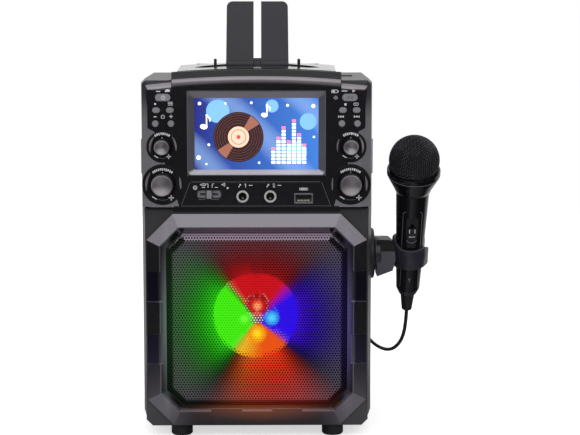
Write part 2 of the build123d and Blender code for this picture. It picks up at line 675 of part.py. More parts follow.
# X, Z and radius of the sockets in the rear cover: three line sockets, one headphone socket, DC inlet
REAR_SOCKETS = ((-60, 150, 4.2), (-60, 165, 4.2), (-60, 180, 4.2), (-60, 195, 3.2), (-60, 40, 4.4))
REAR_SCREWS = ((-82, 24), (82, 24), (-82, 146), (82, 112), (-82, 268), (82, 268))


def make_rear_sockets():
    y = CABINET_DEPTH
    for number, (x, z, radius) in enumerate(REAR_SOCKETS):
        socket = rod_y(x, z, radius, y - 4, y + 1.5)
        socket += box(x - 6, x + 6, y - 14, y - WALL, z - 6, z + 6)
        bore = (1.6, 1.6, 1.6, 1.75, 2.75)[number]
        yield socket - rod_y(x, z, bore, y - 11, y + 3)


def make_rear_screws():
    y = CABINET_DEPTH
    for x, z in REAR_SCREWS:
        head = rod_y(x, z, 3.0, y - 6, y - 3.6)
        yield head - box(x - 2, x + 2, y - 4.6, y, z - 0.4, z + 0.4) \
            - box(x - 0.4, x + 0.4, y - 4.6, y, z - 2, z + 2)


def make_hinge_pins():
    y, z = DOOR_AXIS
    for side in (-1, 1):
        x0, x1 = sorted((side * 34.5, side * 51.5))
        yield rod_x(y, z, 1.2, x0, x1)


def make_main_board():
    """Stands on the cabinet's top, with its processor, connectors and capacitors."""
    board = box(-58, 58, 28, 29.6, SEAM, 250)
    board += box(-12, 12, 29.6, 31.6, 214, 238)
    board += box(24, 48, 29.6, 38, 196, 206)
    for x in (-46, -34, -22):
        board += rod_y(x, 232, 4, 29.6, 41)
    return board


def make_amplifier_board():
    """Lies on pillars on the cabinet's floor, with a finned heat sink."""
    floor = FOOT_HEIGHT + WALL
    board = box(-76, -16, 76, 124, floor + 8, floor + 9.6)
    for x in (-72, -20):
        for y in (80, 120):
            board += rod_z(x, y, 2.5, floor, floor + 8)
    board += box(-60, -32, 80, 84, floor + 9.6, floor + 36)
    for fin in range(6):
        x = -59 + 5.0 * fin
        board += box(x, x + 1.4, 84, 98, floor + 9.6, floor + 36)
    return board


def make_battery_pack():
    floor = FOOT_HEIGHT + WALL
    pack = box(14, 76, 82, 122, floor, floor + 20)
    return fillet(pack.edges().filter_by(Axis.X), 6.0)


# ---------------------------------------------------------------- microphone and holder
def mic_revolved(points):
    """Turns (radius, s) points about the microphone's axis, s from the clip's centre up."""
    solid = revolve(Plane.XZ * polygon(points), axis=Axis.Z, revolution_arc=360)
    return mic_placed(solid)


def mic_placed(shape):
    return Pos(*CLIP_CENTRE) * Rot(MIC_LEAN, 0, 0) * shape


def handle_radius(s):
    """The handle tapers from its collar to its foot."""
    return 10.9 + (0.036 if s > 0 else 0.045) * s


def make_holder_base():
    y, z = HOLDER_PIVOT
    base = rod_x(y, z, 20.5, HALF, HALF + 3.2)
    base = chamfer(base.edges().group_by(Axis.X)[-1], 1.0)
    return base + rod_x(y, z, 6.0, HALF + 3.2, HALF + 12)


def make_mic_holder():
    """The hub turns on the base's stub. Its arm carries an open clip that leans with the handle."""
    y, z = HOLDER_PIVOT
    x0 = HALF + 3.5
    hub = rod_x(y, z, 14.0, x0, x0 + 5.0)
    side = polygon([(x0 + 2, 121.5), (109.5, 126.3), (112.8, 137), (111, 150), (108.0, 155), (x0 + 2, 155)])
    arm = slab(side, y - 13, y + 13)
    arm = chamfer(arm.edges().group_by(Axis.Y)[0], 1.2)
    pocket = box(x0 + 3.5, 108.6, y - 14, y - 4, 144.8, 151)
    clip_in = mic_revolved([(0, -10), (handle_radius(-10) + 0.35, -10),
                            (handle_radius(10) + 0.35, 10), (0, 10)])
    clip = mic_placed(Cylinder(14.6, 18))
    web = mic_placed(Pos(-14, 0, 0) * Box(8, 12, 18))
    sleeve = mic_placed(Cylinder(14.2, 60))
    holder = hub + (arm - pocket - sleeve) + (web - clip_in) + clip
    holder -= mic_revolved([(0, -12), (handle_radius(-12) + 0.35, -12),
                            (handle_radius(12) + 0.35, 12), (0, 12)])
    mouth = mic_placed(Pos(12, 2.5, 0) * Box(13, 9.0, 20))
    return holder - mouth - rod_x(y, z, 6.06, x0 - 1, HALF + 13)


def make_mic_handle():
    foot, top = -33.0, 65.0
    points = [(0, foot), (7.6, foot), (handle_radius(-28), -28), (handle_radius(0), 0),
              (handle_radius(top), top), (0, top)]
    handle = mic_revolved(points)
    recess = mic_placed(Pos(0, -13.1, 29) * Box(9.4, 4.0, 33))
    guide = mic_placed(Pos(0, -9.8, 32.5) * Box(2.4, 4.0, 14))
    return handle - recess - guide


def make_mic_switch():
    plate = mic_placed(Pos(0, -12.1, 31) * Box(6.4, 1.8, 10))
    ridge = mic_placed(Pos(0, -13.3, 31) * Box(5.0, 1.2, 2.2))
    tongue = mic_placed(Pos(0, -10.2, 31) * Box(1.8, 2.2, 6))
    return plate + ridge + tongue


def make_mic_collar():
    return mic_revolved([(0, 65), (14.1, 65), (15.4, 69), (19.6, 77.5), (21.0, 81), (21.2, 87),
                         (20.4, 88), (18.6, 88), (15, 80), (0, 80)])


def make_mic_ball():
    """The mesh ball, flattened a little on top, seated in the collar."""
    ball = Pos(0, 0, MIC_HEAD_S) * Sphere(MIC_BALL)
    ball &= Pos(0, 0, 104) * Cylinder(30, 32)
    ball += Pos(0, 0, 84) * Cone(14.6, 18.2, 8.0)
    return mic_placed(ball)


def make_mic_relief():
    points = [(0, -33), (5.8, -33), (5.6, -37), (4.2, -50), (0, -50)]
    return mic_revolved(points)


# The cord's route from the microphone to its coil behind the machine
CORD_ROUTE = [
    (123.9, 82.38, 89.5),
    (123.9, 90.4, 72.5),
    (121.0, 102.5, 56.5),
    (113.5, 119.0, 45.5),
    (103.0, 138.0, 45.0),
    (93.5, 152.0, 53.0),
    (84.5, 156.0, 59.0),
    (73.5, 156.8, 60.5),
    (67.5, 158.0, 52.0),
    (66.0, 160.5, 35.0),
    (64.0, 164.5, 17.0),
    (59.0, 171.0, 4.0),
    (47.5, 178.5, 1.7),
]
COIL_CENTRE = (26.0, 180.0)
COIL_RADII = (10.5, 22.6)
COIL_HEIGHT = 12.4
PLUG_START = (-6.0, 160.5)  # where the plug's own relief begins, beside the coil


def route_radii(points):
    """Each corner's arc: 0.45 of its shorter run over the tangent of half the turn."""
    for a, b, c in zip(points, points[1:], points[2:]):
        before, after = Vector(*b) - Vector(*a), Vector(*c) - Vector(*b)
        turn = math.radians(before.get_angle(after))
        yield 0.45 * min(before.length, after.length) / math.tan(turn / 2)


def make_cord():
    radii = list(route_radii(CORD_ROUTE))
    path = FilletPolyline(*CORD_ROUTE, radius=radii)
    section = Plane(origin=path @ 0, z_dir=path % 0) * Circle(CORD_RADIUS)
    tube = sweep(section, path=path)
    print("cord radii", [round(r, 1) for r in radii], "length", round(path.length, 1),
          "volume share", round(tube.volume / (path.length * math.pi * CORD_RADIUS**2), 4))
    return tube


def make_coil():
    """The outer shape of the wound cord, with the short end that leads to the plug."""
    x, y = COIL_CENTRE
    inner, outer = COIL_RADII
    coil = rod_z(x, y, outer, 0, COIL_HEIGHT) - rod_z(x, y, inner, -1, COIL_HEIGHT + 1)
    lead = rod_x(PLUG_START[1], 5.6, CORD_RADIUS, PLUG_START[0], x)
    return coil + lead


def make_plug():
    """A quarter-inch plug lying beside the coil: relief, barrel, shaft and grooved tip."""
    x, y = PLUG_START
    shaft = 3.17
    points = [(0, 0), (2.4, 0), (3.4, 10), (5.4, 12), (5.4, 36), (4.6, 37.5), (shaft, 37.5),
              (shaft, 61), (shaft - 0.9, 62.2), (shaft, 64.2), (1.0, 68), (0, 68)]
    return Pos(x, y, 5.6) * Rot(0, -90, 0) * revolve(Plane.XZ * polygon(points), axis=Axis.Z)


# ---------------------------------------------------------------- write every piece
def main():
    save("main_shell", make_main_shell())
    save("front_baffle", make_baffle())
    save("grille_frame", make_grille_frame())
    save("speaker_grille", make_speaker_grille())
    basket, cone = make_speaker()
    save("speaker_basket", basket)
    save("speaker_cone", cone)
    save("light_bracket", make_light_bracket())
    save("light_lenses", *[make_light(*place) for place in light_places()])
    save("feet", *make_feet())
    save("console_shell", make_console_shell())
    save("control_panel", make_control_panel(), make_jack_plate())
    save("brow_band", make_brow())
    save("screen_bezel", make_screen_bezel())
    half, low, high = SCREEN_WINDOW
    save("screen_lens", box(-half - 1.5, half + 1.5, 5.6, 6.6, low - 1.5, high + 1.5))
    save("lcd_module", box(-52.5, 52.5, 6.6, 12.0, low - 4, high + 4))
    save("mic_jacks", *[make_jack(x) for x in JACKS_X])
    save("usb_port", make_usb_port())
    save("switch_base", make_switch_base())
    save("function_slider", make_function_slider())
    save("power_light", rod_y(POWER_LIGHT[0], POWER_LIGHT[1], 1.5, -0.7, PANEL_THICKNESS + 2))
    for name, place in BUTTONS.items():
        save(name, make_button(place))
    knobs = {"knob_echo": (-KNOB_X, SMALL_KNOB), "knob_mic_volume": (-KNOB_X, LARGE_KNOB),
             "knob_balance": (KNOB_X, SMALL_KNOB), "knob_master_volume": (KNOB_X, LARGE_KNOB)}
    for name, (x, place) in knobs.items():
        save(name, make_knob(x, place))
    save("open_button", make_open_button())
    save("disc_deck", make_disc_deck())
    save("guide_rods", *make_guide_rods())
    save("pickup_sled", make_pickup_sled())
    save("spindle_motor", make_spindle_motor())
    save("turntable", make_turntable())
    save("door_panel", make_door_panel())
    save("tablet_stand", make_tablet_stand())
    save("door_pins", rod_x(*STAND_AXIS, 1.25, 1 - STAND_HALF, STAND_HALF - 1), *make_stop_pins())
    save("rear_cover", make_rear_cover(), make_cord_hook())
    save("rear_sockets", *make_rear_sockets())
    save("rear_screws", *make_rear_screws())
    save("hinge_pins", *make_hinge_pins())
    save("main_board", make_main_board())
    save("amplifier_board", make_amplifier_board())
    save("battery_pack", make_battery_pack())
    save("holder_base", make_holder_base())
    save("mic_holder", make_mic_holder())
    save("mic_handle", make_mic_handle())
    save("mic_switch", make_mic_switch())
    save("mic_collar", make_mic_collar())
    save("mic_ball", make_mic_ball())
    save("mic_relief", make_mic_relief())
    save("mic_cord", make_cord())
    save("mic_cord_coil", make_coil())
    save("mic_plug", make_plug())


main()
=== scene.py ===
"""The dressed karaoke machine: its looks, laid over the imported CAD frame.

Lengths in the calls below are millimetres in the cabinet's frame (X = 0 on its centre plane, Y = 0 on its
front face, Z = 0 on the floor). at() turns them into Blender's metres in the row frame.
"""

import math

import bmesh
import bpy
import numpy as np
from mathutils import Matrix, Vector


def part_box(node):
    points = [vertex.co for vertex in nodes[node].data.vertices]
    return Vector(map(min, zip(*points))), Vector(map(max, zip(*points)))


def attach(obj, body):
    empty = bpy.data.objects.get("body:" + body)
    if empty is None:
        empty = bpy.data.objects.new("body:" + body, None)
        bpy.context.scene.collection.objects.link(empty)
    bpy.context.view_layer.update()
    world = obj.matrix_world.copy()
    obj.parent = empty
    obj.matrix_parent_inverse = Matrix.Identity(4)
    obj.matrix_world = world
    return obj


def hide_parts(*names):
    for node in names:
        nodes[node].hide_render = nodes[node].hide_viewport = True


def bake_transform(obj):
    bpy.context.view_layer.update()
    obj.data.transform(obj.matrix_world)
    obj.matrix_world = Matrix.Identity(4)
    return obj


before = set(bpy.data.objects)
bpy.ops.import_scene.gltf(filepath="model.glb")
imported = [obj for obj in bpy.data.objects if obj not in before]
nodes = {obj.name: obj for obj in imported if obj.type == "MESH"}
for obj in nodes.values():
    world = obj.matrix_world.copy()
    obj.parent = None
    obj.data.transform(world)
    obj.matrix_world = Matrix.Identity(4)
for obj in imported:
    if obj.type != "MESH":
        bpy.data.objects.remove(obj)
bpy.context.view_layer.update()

MM = 0.001
PLATE_FRONT = 5.0  # the baffle's plates stand this far behind the front face
BACK_Y = 150.0  # and so far behind it is the back
baffle_low, baffle_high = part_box("front_baffle")
ORIGIN = Vector(((baffle_low.x + baffle_high.x) / 2, baffle_low.y - PLATE_FRONT * MM, 0))


def at(x, y, z):
    return ORIGIN + Vector((x, y, z)) * MM


# ---------------------------------------------------------------- camera
IMAGE = (580, 435)
FOCAL_PIXELS = 1688.0
SENSOR = 36.0
CAMERA_PLACE = (10.3, -1300.0, 342.4)
CAMERA_TILT, CAMERA_TURN = 7.3, 0.686  # degrees down, and to the right
camera_data = bpy.data.cameras.new("camera")
camera_data.sensor_fit = "HORIZONTAL"
camera_data.sensor_width = SENSOR
camera_data.lens = SENSOR * FOCAL_PIXELS / IMAGE[0]
camera_data.clip_start = 0.05
camera = bpy.data.objects.new("camera", camera_data)
camera.location = at(*CAMERA_PLACE)
camera.rotation_euler = (math.radians(90 - CAMERA_TILT), 0, -math.radians(CAMERA_TURN))
bpy.context.scene.collection.objects.link(camera)
bpy.context.scene.camera = camera
bpy.context.scene.view_settings.view_transform = "Standard"


# ---------------------------------------------------------------- making meshes
def smooth_by_angle(mesh, angle):
    """Rounds the shading everywhere but across edges sharper than angle, in degrees."""
    work = bmesh.new()
    work.from_mesh(mesh)
    limit = math.radians(angle)
    for face in work.faces:
        face.smooth = True
    for edge in work.edges:
        edge.smooth = len(edge.link_faces) == 2 and edge.calc_face_angle(0) < limit
    work.to_mesh(mesh)
    work.free()


def piece(name, points, faces, material, body="cabinet", slot=None, angle=35.0):
    """A named mesh in the row frame that rides on a CAD body. points are metres, as at() gives them."""
    mesh = bpy.data.meshes.new(name)
    mesh.from_pydata([tuple(p) for p in points], [], [tuple(f) for f in faces])
    mesh.validate()
    smooth_by_angle(mesh, angle)
    made = bpy.data.objects.new(name, mesh)
    mesh.materials.append(material)
    bpy.context.scene.collection.objects.link(made)
    if body:
        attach(made, body)
    return made


def round_angles(count):
    """Even steps round a circle, in radians."""
    return [math.tau * k / count for k in range(count)]


def part_way(a, b, share):
    """The place that share of the way from a to b."""
    return [p + (q - p) * share for p, q in zip(a, b)]


def grid_faces(rows, count, joined=True, inward=False, capped=False):
    """Quads between rows of count points. joined closes each row on itself, inward turns the faces over,
    and capped closes both ends."""
    faces = []
    for row in range(rows - 1):
        for k in range(count if joined else count - 1):
            a, b = row * count + k, row * count + (k + 1) % count
            faces.append([a, a + count, b + count, b] if inward else [a, b, b + count, a + count])
    if capped:
        first, last = list(range(count)), list(range((rows - 1) * count, rows * count))
        faces += [first, last[::-1]] if inward else [first[::-1], last]
    return faces


def skin(name, rows, material, joined=False, inward=False, capped=False, **options):
    """A piece whose surface runs through rows of points."""
    points = [point for row in rows for point in row]
    faces = grid_faces(len(rows), len(rows[0]), joined, inward, capped)
    return piece(name, points, faces, material, **options)


def tube(line, radius, sides):
    """Points and faces of a round tube along a line of Vectors, closed at both ends."""
    points, side = [], None
    for i, here in enumerate(line):
        ahead = (line[min(i + 1, len(line) - 1)] - line[max(i - 1, 0)]).normalized()
        if side is None:
            side = ahead.orthogonal()
        side = (side - ahead * side.dot(ahead)).normalized()
        up = ahead.cross(side)
        points += [here + (side * math.cos(a) + up * math.sin(a)) * radius for a in round_angles(sides)]
    return points, grid_faces(len(line), sides, capped=True)


# ---------------------------------------------------------------- materials
def linear(colour):
    """An sRGB hex value as linear red, green, blue and alpha."""
    parts = [int(colour[i:i + 2], 16) / 255 for i in (0, 2, 4)]
    return [p / 12.92 if p <= 0.04045 else ((p + 0.055) / 1.055) ** 2.4 for p in parts] + [1.0]


def add(tree, kind, settings=None, links=None):
    """Adds a shader node. A lower-case setting is a property, any other one is a socket's value;
    links name the sockets that another node's socket feeds."""
    made = tree.nodes.new("ShaderNode" + kind)
    for key, value in (settings or {}).items():
        if isinstance(key, str) and key[0].islower():
            setattr(made, key, value)
        else:
            made.inputs[key].default_value = value
    for key, source in (links or {}).items():
        tree.links.new(source, made.inputs[key])
    return made


def new_material(name):
    material = bpy.data.materials.new(name)
    material.use_nodes = True
    material.node_tree.nodes.clear()
    return material, material.node_tree


def close(tree, shader):
    """Links the finished shader to the material's output."""
    add(tree, "OutputMaterial", links={"Surface": shader.outputs[0]})


def grain(tree, size, detail=3.0):
    """A noise pattern whose grains are size millimetres across, in the piece's own coordinates."""
    place = add(tree, "TexCoord").outputs["Object"]
    return add(tree, "TexNoise", {"Scale": 1 / (size * MM), "Detail": detail}, {"Vector": place})


def split(tree, kind="Object"):
    """The X, Y and Z of a place (Object), of the way a face leans (Normal) or of a way out (Generated)."""
    return add(tree, "SeparateXYZ", {}, {0: add(tree, "TexCoord").outputs[kind]}).outputs


def spread(tree, value, low, high, start=0.3, end=0.7):
    """A value from start to end, such as most of a noise's, as one from low to high."""
    limits = {"From Min": start, "From Max": end, "To Min": low, "To Max": high}
    return add(tree, "MapRange", limits, {"Value": value}).outputs["Result"]


def blended(tree, share, first, second):
    """One tone, an sRGB hex, turning into another as share goes from 0 to 1."""
    tones = {"data_type": "RGBA", 6: linear(first), 7: linear(second)}
    return add(tree, "Mix", tones, {0: share}).outputs[2]


def relief(tree, height, size, depth, rounding):
    """A bumped normal: a pattern's relief, depth millimetres high, over edges rounded by rounding."""
    edge = add(tree, "Bevel", {"samples": 4, "Radius": rounding * MM})
    settings = {"Strength": min(1.0, depth / size * 4), "Distance": size * MM}
    links = {"Height": height, "Normal": edge.outputs["Normal"]}
    return add(tree, "Bump", settings, links).outputs["Normal"]


CLOUDS = 38.0  # millimetres across the soft patches of a moulded surface's two tones


def moulded(name, tones, roughness, size, depth, rounding=0.35, glow=None, **sockets):
    """A moulded or sprayed surface with a grain of size millimetres and softened edges. tones are two
    close colours, or work out a colour that differs from place to place; glow, where given, works out
    the light that coloured lamps nearby throw on it."""
    material, tree = new_material(name)
    fine = grain(tree, size).outputs["Fac"]
    if callable(tones):
        colour = tones(tree)
    else:
        cloudy = grain(tree, CLOUDS, 2.0).outputs["Fac"]
        colour = blended(tree, spread(tree, cloudy, 0.0, 1.0), *tones)
    shader = add(tree, "BsdfPrincipled", sockets, {
        "Base Color": colour, "Roughness": spread(tree, fine, roughness - 0.05, roughness + 0.05),
        "Normal": relief(tree, fine, size, depth, rounding)})
    if glow:
        tree.links.new(glow(tree), shader.inputs["Emission Color"])
        shader.inputs["Emission Strength"].default_value = 1.0
    close(tree, shader)
    return material


TOP = 300.0  # tones that change with height do so up to here

# Coloured light that the lamps spill on the frame: where, its colour, its reach, and how it is drawn out
SPILLS = [
    ((-70.5, 0, 94), "585c60", 6.8, (1.0, 0.0, 0.07)),
    ((-68, 0, 86), "083018", 11.0, (1.0, 0.0, 0.20)),
    ((70.5, 0, 94), "46405a", 6.8, (1.0, 0.0, 0.07)),
    ((68, 0, 88), "0c0648", 11.0, (1.0, 0.0, 0.17)),
    ((8, 0, 163), "20040a", 13.0, (0.20, 0.0, 1.0)),
    ((4, 0, 25), "602c08", 16.0, (0.21, 0.0, 1.0)),
]


def spill(tree):
    """The sum of the coloured spills at a place, each fading out over its reach."""
    place = add(tree, "TexCoord").outputs["Object"]
    total = None
    for centre, colour, reach, drawn in SPILLS:
        stretched = add(tree, "VectorMath", {"operation": "MULTIPLY", 1: drawn}, {0: place})
        away = add(tree, "VectorMath", {"operation": "DISTANCE", 1: at(*centre) * Vector(drawn)},
                   {0: stretched.outputs[0]})
        fade = add(tree, "MapRange", {"interpolation_type": "SMOOTHERSTEP", "From Max": reach * MM,
                                      "To Min": 1.0, "To Max": 0.0}, {"Value": away.outputs["Value"]})
        share = add(tree, "VectorMath", {"operation": "SCALE", 0: linear(colour)[:3]},
                    {"Scale": fade.outputs["Result"]})
        if total:
            share = add(tree, "VectorMath", {}, {0: total, 1: share.outputs[0]})
        total = share.outputs[0]
    return total


def ramped(tree, value, stops):
    """A colour that follows a value along stops, each a position and an sRGB hex."""
    ramp = add(tree, "ValToRGB", {}, {"Fac": value})
    marks = ramp.color_ramp.elements
    first, *between, last = stops
    for stop, (spot, colour) in zip(marks, (first, last)):
        stop.position, stop.color = spot, linear(colour)
    for spot, colour in between:
        marks.new(spot).color = linear(colour)
    return ramp.outputs["Color"]


def painted_lean_tone(*colours):
    """Painted light and shade that change with the way a face leans: colours for faces turned down, upright
    and up.
    """
    def tone(tree):
        share = spread(tree, split(tree, "Normal")["Z"], 0.0, 1.0, -0.7, 0.7)
        return ramped(tree, share, zip((0.0, 0.5, 1.0), colours))
    return tone


def painted_height_shade(*stops):
    """A painted shade that changes with height, from stops in millimetres."""
    def tone(tree):
        share = spread(tree, split(tree)["Z"], 0.0, 1.0, 0.0, TOP * MM)
        return ramped(tree, share, [(height / TOP, colour) for height, colour in stops])
    return tone


def painted_side_shade(tree):
    """The frame's lacquer with painted shade: darker and bluer on the shallow steps let into its left and
    right sides.
    """
    spot, lean = split(tree), split(tree, "Normal")
    offset = add(tree, "Math", {"operation": "SUBTRACT", 1: ORIGIN.x}, {0: spot["X"]})
    aside = add(tree, "Math", {"operation": "ABSOLUTE"}, {0: offset.outputs[0]})
    tilt = add(tree, "Math", {"operation": "ABSOLUTE"}, {0: lean["X"]})
    share = None
    for value, start, full in ((aside.outputs[0], 76.5 * MM, 77.5 * MM), (tilt.outputs[0], 0.235, 0.205),
                               (spot["Z"], 36 * MM, 42 * MM), (spot["Z"], 142 * MM, 138 * MM)):
        within = spread(tree, value, 0.0, 1.0, start, full)
        if share:
            within = add(tree, "Math", {"operation": "MULTIPLY"}, {0: share, 1: within}).outputs[0]
        share = within
    return ramped(tree, share, ((0.0, "87838b"), (1.0, "4a4760")))


def turned(name, colour, roughness, grain_size):
    """Bare metal off the lathe or the press, its fine marks grain_size millimetres apart."""
    material, tree = new_material(name)
    marks = grain(tree, grain_size).outputs["Fac"]
    shader = add(tree, "BsdfPrincipled", {"Base Color": linear(colour), "Metallic": 1.0}, {
        "Roughness": spread(tree, marks, roughness - 0.04, roughness + 0.06),
        "Normal": relief(tree, marks, grain_size, 0.004, 0.15)})
    close(tree, shader)
    return material


def glowing(name, colour, strength=1.0):
    """A lit surface, such as a lamp's epoxy dome or a patch of the display."""
    material, tree = new_material(name)
    shader = add(tree, "BsdfPrincipled", {"Base Color": linear(colour), "Roughness": 0.25,
                                          "Emission Color": linear(colour), "Emission Strength": strength})
    close(tree, shader)
    return material


# Spark-textured ABS: an even fine grain that breaks the highlights into a soft satin; painted shade makes
# it darker near the floor and darker still towards the top
charcoal_abs = moulded("charcoal_textured_abs", painted_height_shade((10, "39373c"), (70, "47464b"), (185, "29282d")),
                       0.42, 0.5, 0.02)
# The console's shell, the same ABS in a paler charcoal, with painted shade darkening it towards the top
console_abs = moulded("pale_charcoal_textured_abs", painted_height_shade((205, "69686e"), (252, "66656a"),
                                                              (270, "36343b"), (288, "29272d")),
                      0.40, 0.5, 0.02)
# The same ABS in black, for holders, decks and levers
black_abs = moulded("black_textured_abs", ("1b1b20", "212127"), 0.42, 0.45, 0.02)
# Graphite ABS with a dull grain: the tablet stand stays flat in tone from any side
graphite_abs = moulded("graphite_matt_abs", ("312f37", "35333b"), 0.50, 0.4, 0.02)
# Piano-black ABS: polished, with slow waves from the mould and hardly any grain
piano_black = moulded("piano_black_abs", ("0c0b11", "0f0e14"), 0.13, 3.0, 0.004, 0.25)
# Metallic lacquer over ABS: mica flakes give it a satin sparkle, and facets far apart in tone; painted
# shade darkens the steps in its sides, and the lamps' coloured light is painted on as glow
graphite_lacquer = moulded("graphite_mica_lacquer", painted_side_shade, 0.21, 0.28, 0.007, 0.30, spill,
                           Metallic=1.0)
# A warm grey metallic lacquer, lighter, for the brow band, and for the highlights painted on the dials
silver_lacquer = moulded("warm_grey_metallic_lacquer", ("918b90", "99939a"), 0.30, 0.28, 0.01, 0.25,
                         Metallic=0.85)
# Satin lacquer on the screen's frame, with light and shade painted by the way each face leans: its lower
# lip is painted palest, its sides dark
bezel_lacquer = moulded("satin_grey_bezel_lacquer", painted_lean_tone("6f6a70", "4e4b50", "c4c0c6"),
                        0.34, 0.3, 0.008, 0.3)
# Keys of satin grey ABS with a little mica in it
key_abs = moulded("satin_grey_key_abs", ("76747a", "7e7c82"), 0.38, 0.3, 0.012, 0.35)
# Dull grey ABS on the pads beside the switch's lever: evenly grey, with a coarse grain
pad_abs = moulded("dull_grey_pad_abs", ("6a686f", "717077"), 0.5, 0.4, 0.02, 0.4)
# Silver-grey metallised caps, softly bead-blasted
cap_metal = moulded("blasted_silver_cap", ("8f8a90", "979298"), 0.30, 0.25, 0.010, 0.2, Metallic=0.8)
# Soft-touch black on the knobs' skirts and the top of the microphone's arm: hardly any shine
knob_black = moulded("soft_touch_black", ("0d0c11", "111015"), 0.5, 0.3, 0.01, 0.2)
# Satin ABS with a cold blue-black cast on the microphone's clip
holder_abs = moulded("blue_black_satin_abs", ("22212b", "282733"), 0.24, 0.4, 0.008, 0.3)
# Slate ABS on the arm's cheek, paler and duller than the clip beside it
cheek_abs = moulded("slate_satin_abs", ("45444e", "4b4a55"), 0.40, 0.4, 0.01, 0.3)
# Vulcanised rubber: dull, with a slightly rough skin
foot_rubber = moulded("moulded_black_rubber", ("18181a", "1e1e20"), 0.62, 0.6, 0.04, 0.5)
# Nickel plate over turned brass: bright rings with fine turning lines
nickel = turned("turned_nickel_plate", "d2d1d3", 0.16, 0.4)
# Satin nickel on the sockets' rings and the port's frame: a soft white sheen from any side
satin_nickel = moulded("satin_nickel_plate", ("b6b3b2", "bebbba"), 0.30, 0.3, 0.004, 0.15, Metallic=0.3)
# Ground steel rods and pins: bright, with a brushed-looking sheen
steel = turned("ground_steel", "a9aaae", 0.24, 0.3)
# Gold-flashed spring contacts: pale, with a soft sheen
gold_flash = moulded("gold_flashed_bronze", ("dccaa4", "e4d4b0"), 0.32, 0.4, 0.004, 0.1, Metallic=0.3)
# Pressed loudspeaker paper: fibrous and quite rough
cone_paper = moulded("pressed_paper_cone", ("26262a", "303034"), 0.75, 1.1, 0.12)
# Glass-epoxy board with a green solder mask, half glossy
board_mask = moulded("green_solder_mask_board", ("1d5636", "226340"), 0.35, 0.8, 0.01)
# Shrink-wrapped cells: a glossy blue film with slow waves
shrink_wrap = moulded("blue_shrink_wrap", ("2d3e66", "344877"), 0.3, 2.0, 0.05)
# Satin black enamel on the microphone's zinc handle: a long soft streak of light
mic_enamel = moulded("satin_black_enamel", ("0c0c0f", "101013"), 0.17, 0.5, 0.004, 0.3)
# Polished black ABS on the collar under the ball: sharp reflections
mic_gloss = moulded("polished_black_collar", ("09090c", "0d0d10"), 0.08, 2.0, 0.003, 0.3)
# Plasticised PVC: the cord's skin has a faint fine grain and a soft sheen
cord_vinyl = moulded("black_pvc_cord", ("17171a", "1c1c1f"), 0.45, 0.5, 0.01)
# Black-enamelled steel wire, woven for the microphone's ball: each wire catches a small glint
wire_enamel = moulded("black_enamelled_wire", ("45454b", "4e4e54"), 0.28, 0.3, 0.006, 0.05, Metallic=0.6)
# Open-cell foam inside the ball: nearly black, so that the mesh reads against it
ball_foam = moulded("open_cell_foam", ("050506", "080809"), 0.9, 0.7, 0.1)
# Pale screen-printing ink, as on control panels
print_ink = moulded("pale_screen_print", ("c9c8ce", "d2d1d7"), 0.5, 0.3, 0.004, 0.05)
# The same ink thinned to a dim grey, for lines that stay in the background; also for the highlight painted
# along the edges of the sockets' plate and under the switch
dim_ink_and_edge_highlight = moulded("dim_grey_print_and_painted_highlight", ("54545b", "5a5a61"), 0.5, 0.3, 0.004, 0.05)


# ---------------------------------------------------------------- the microphone's cord
CORD_RADIUS = 1.5
FOLLOWING_SIDES, STORED_SIDES = 12, 10  # of the tube beside the microphone, and of the rest
CORD_ROUTE = [
    (123.9, 82.38, 89.5),
    (123.9, 90.4, 72.5),
    (121.0, 102.5, 56.5),
    (113.5, 119.0, 45.5),
    (103.0, 138.0, 45.0),
    (93.5, 152.0, 53.0),
    (84.5, 156.0, 59.0),
    (73.5, 156.8, 60.5),
    (67.5, 158.0, 52.0),
    (66.0, 160.5, 35.0),
    (64.0, 164.5, 17.0),
    (59.0, 171.0, 4.0),
    (47.5, 178.5, 1.7),
]
PARTING = (117.0, 111.5, 50.0)  # where the stretch that follows the microphone ends
COIL_CENTRE = (26.0, 180.0)
COIL_INNER, COIL_OUTER = 12.0, 21.1  # radii of the innermost and outermost turns
COIL_TURNS = 14.5
TURNS_PER_LAYER = 4
LAYER_RISE = 3.1
COIL_STEPS = 16  # control points for each turn
PLUG_LEAD = [(4.6, 172.0, 9.0), (1.6, 164.6, 7.0), (-2.0, 161.2, 5.8), (-8.0, 160.5, 5.6)]


def eased(x):
    x = min(1.0, max(0.0, x))
    return x * x * (3 - 2 * x)


def coil_turn(turn):
    """Where the wound cord is after that many turns: in and out in flat layers, each on the last."""
    layer, within = divmod(turn, TURNS_PER_LAYER)
    wound = min(within / (TURNS_PER_LAYER - 1), 1.0)
    share = wound if layer % 2 == 0 else 1 - wound
    radius = COIL_OUTER + (COIL_INNER - COIL_OUTER) * share
    rise = LAYER_RISE * (layer + eased((within - TURNS_PER_LAYER + 0.75) / 0.5))
    angle = math.tau * turn
    return (COIL_CENTRE[0] + radius * math.cos(angle), COIL_CENTRE[1] + radius * math.sin(angle),
            CORD_RADIUS + rise)


def cord_line():
    """The whole cord's line, read from one NURBS spline through the route and the coil."""
    coil = [coil_turn(i / COIL_STEPS) for i in range(1, int(COIL_TURNS * COIL_STEPS) + 1)]
    places = CORD_ROUTE + coil + PLUG_LEAD
    curve = bpy.data.curves.new("cord_route", "CURVE")
    curve.dimensions = "3D"
    curve.resolution_u = 6
    spline = curve.splines.new("NURBS")
    spline.points.add(len(places) - 1)
    for point, place in zip(spline.points, places):
        point.co = (*at(*place), 1.0)
    spline.order_u = 3
    spline.use_endpoint_u = True
    carrier = bpy.data.objects.new("cord_route", curve)
    mesh = bpy.data.meshes.new_from_object(carrier)
    line = [v.co.copy() for v in mesh.vertices]
    bpy.data.meshes.remove(mesh)
    bpy.data.objects.remove(carrier)
    bpy.data.curves.remove(curve)
    return line


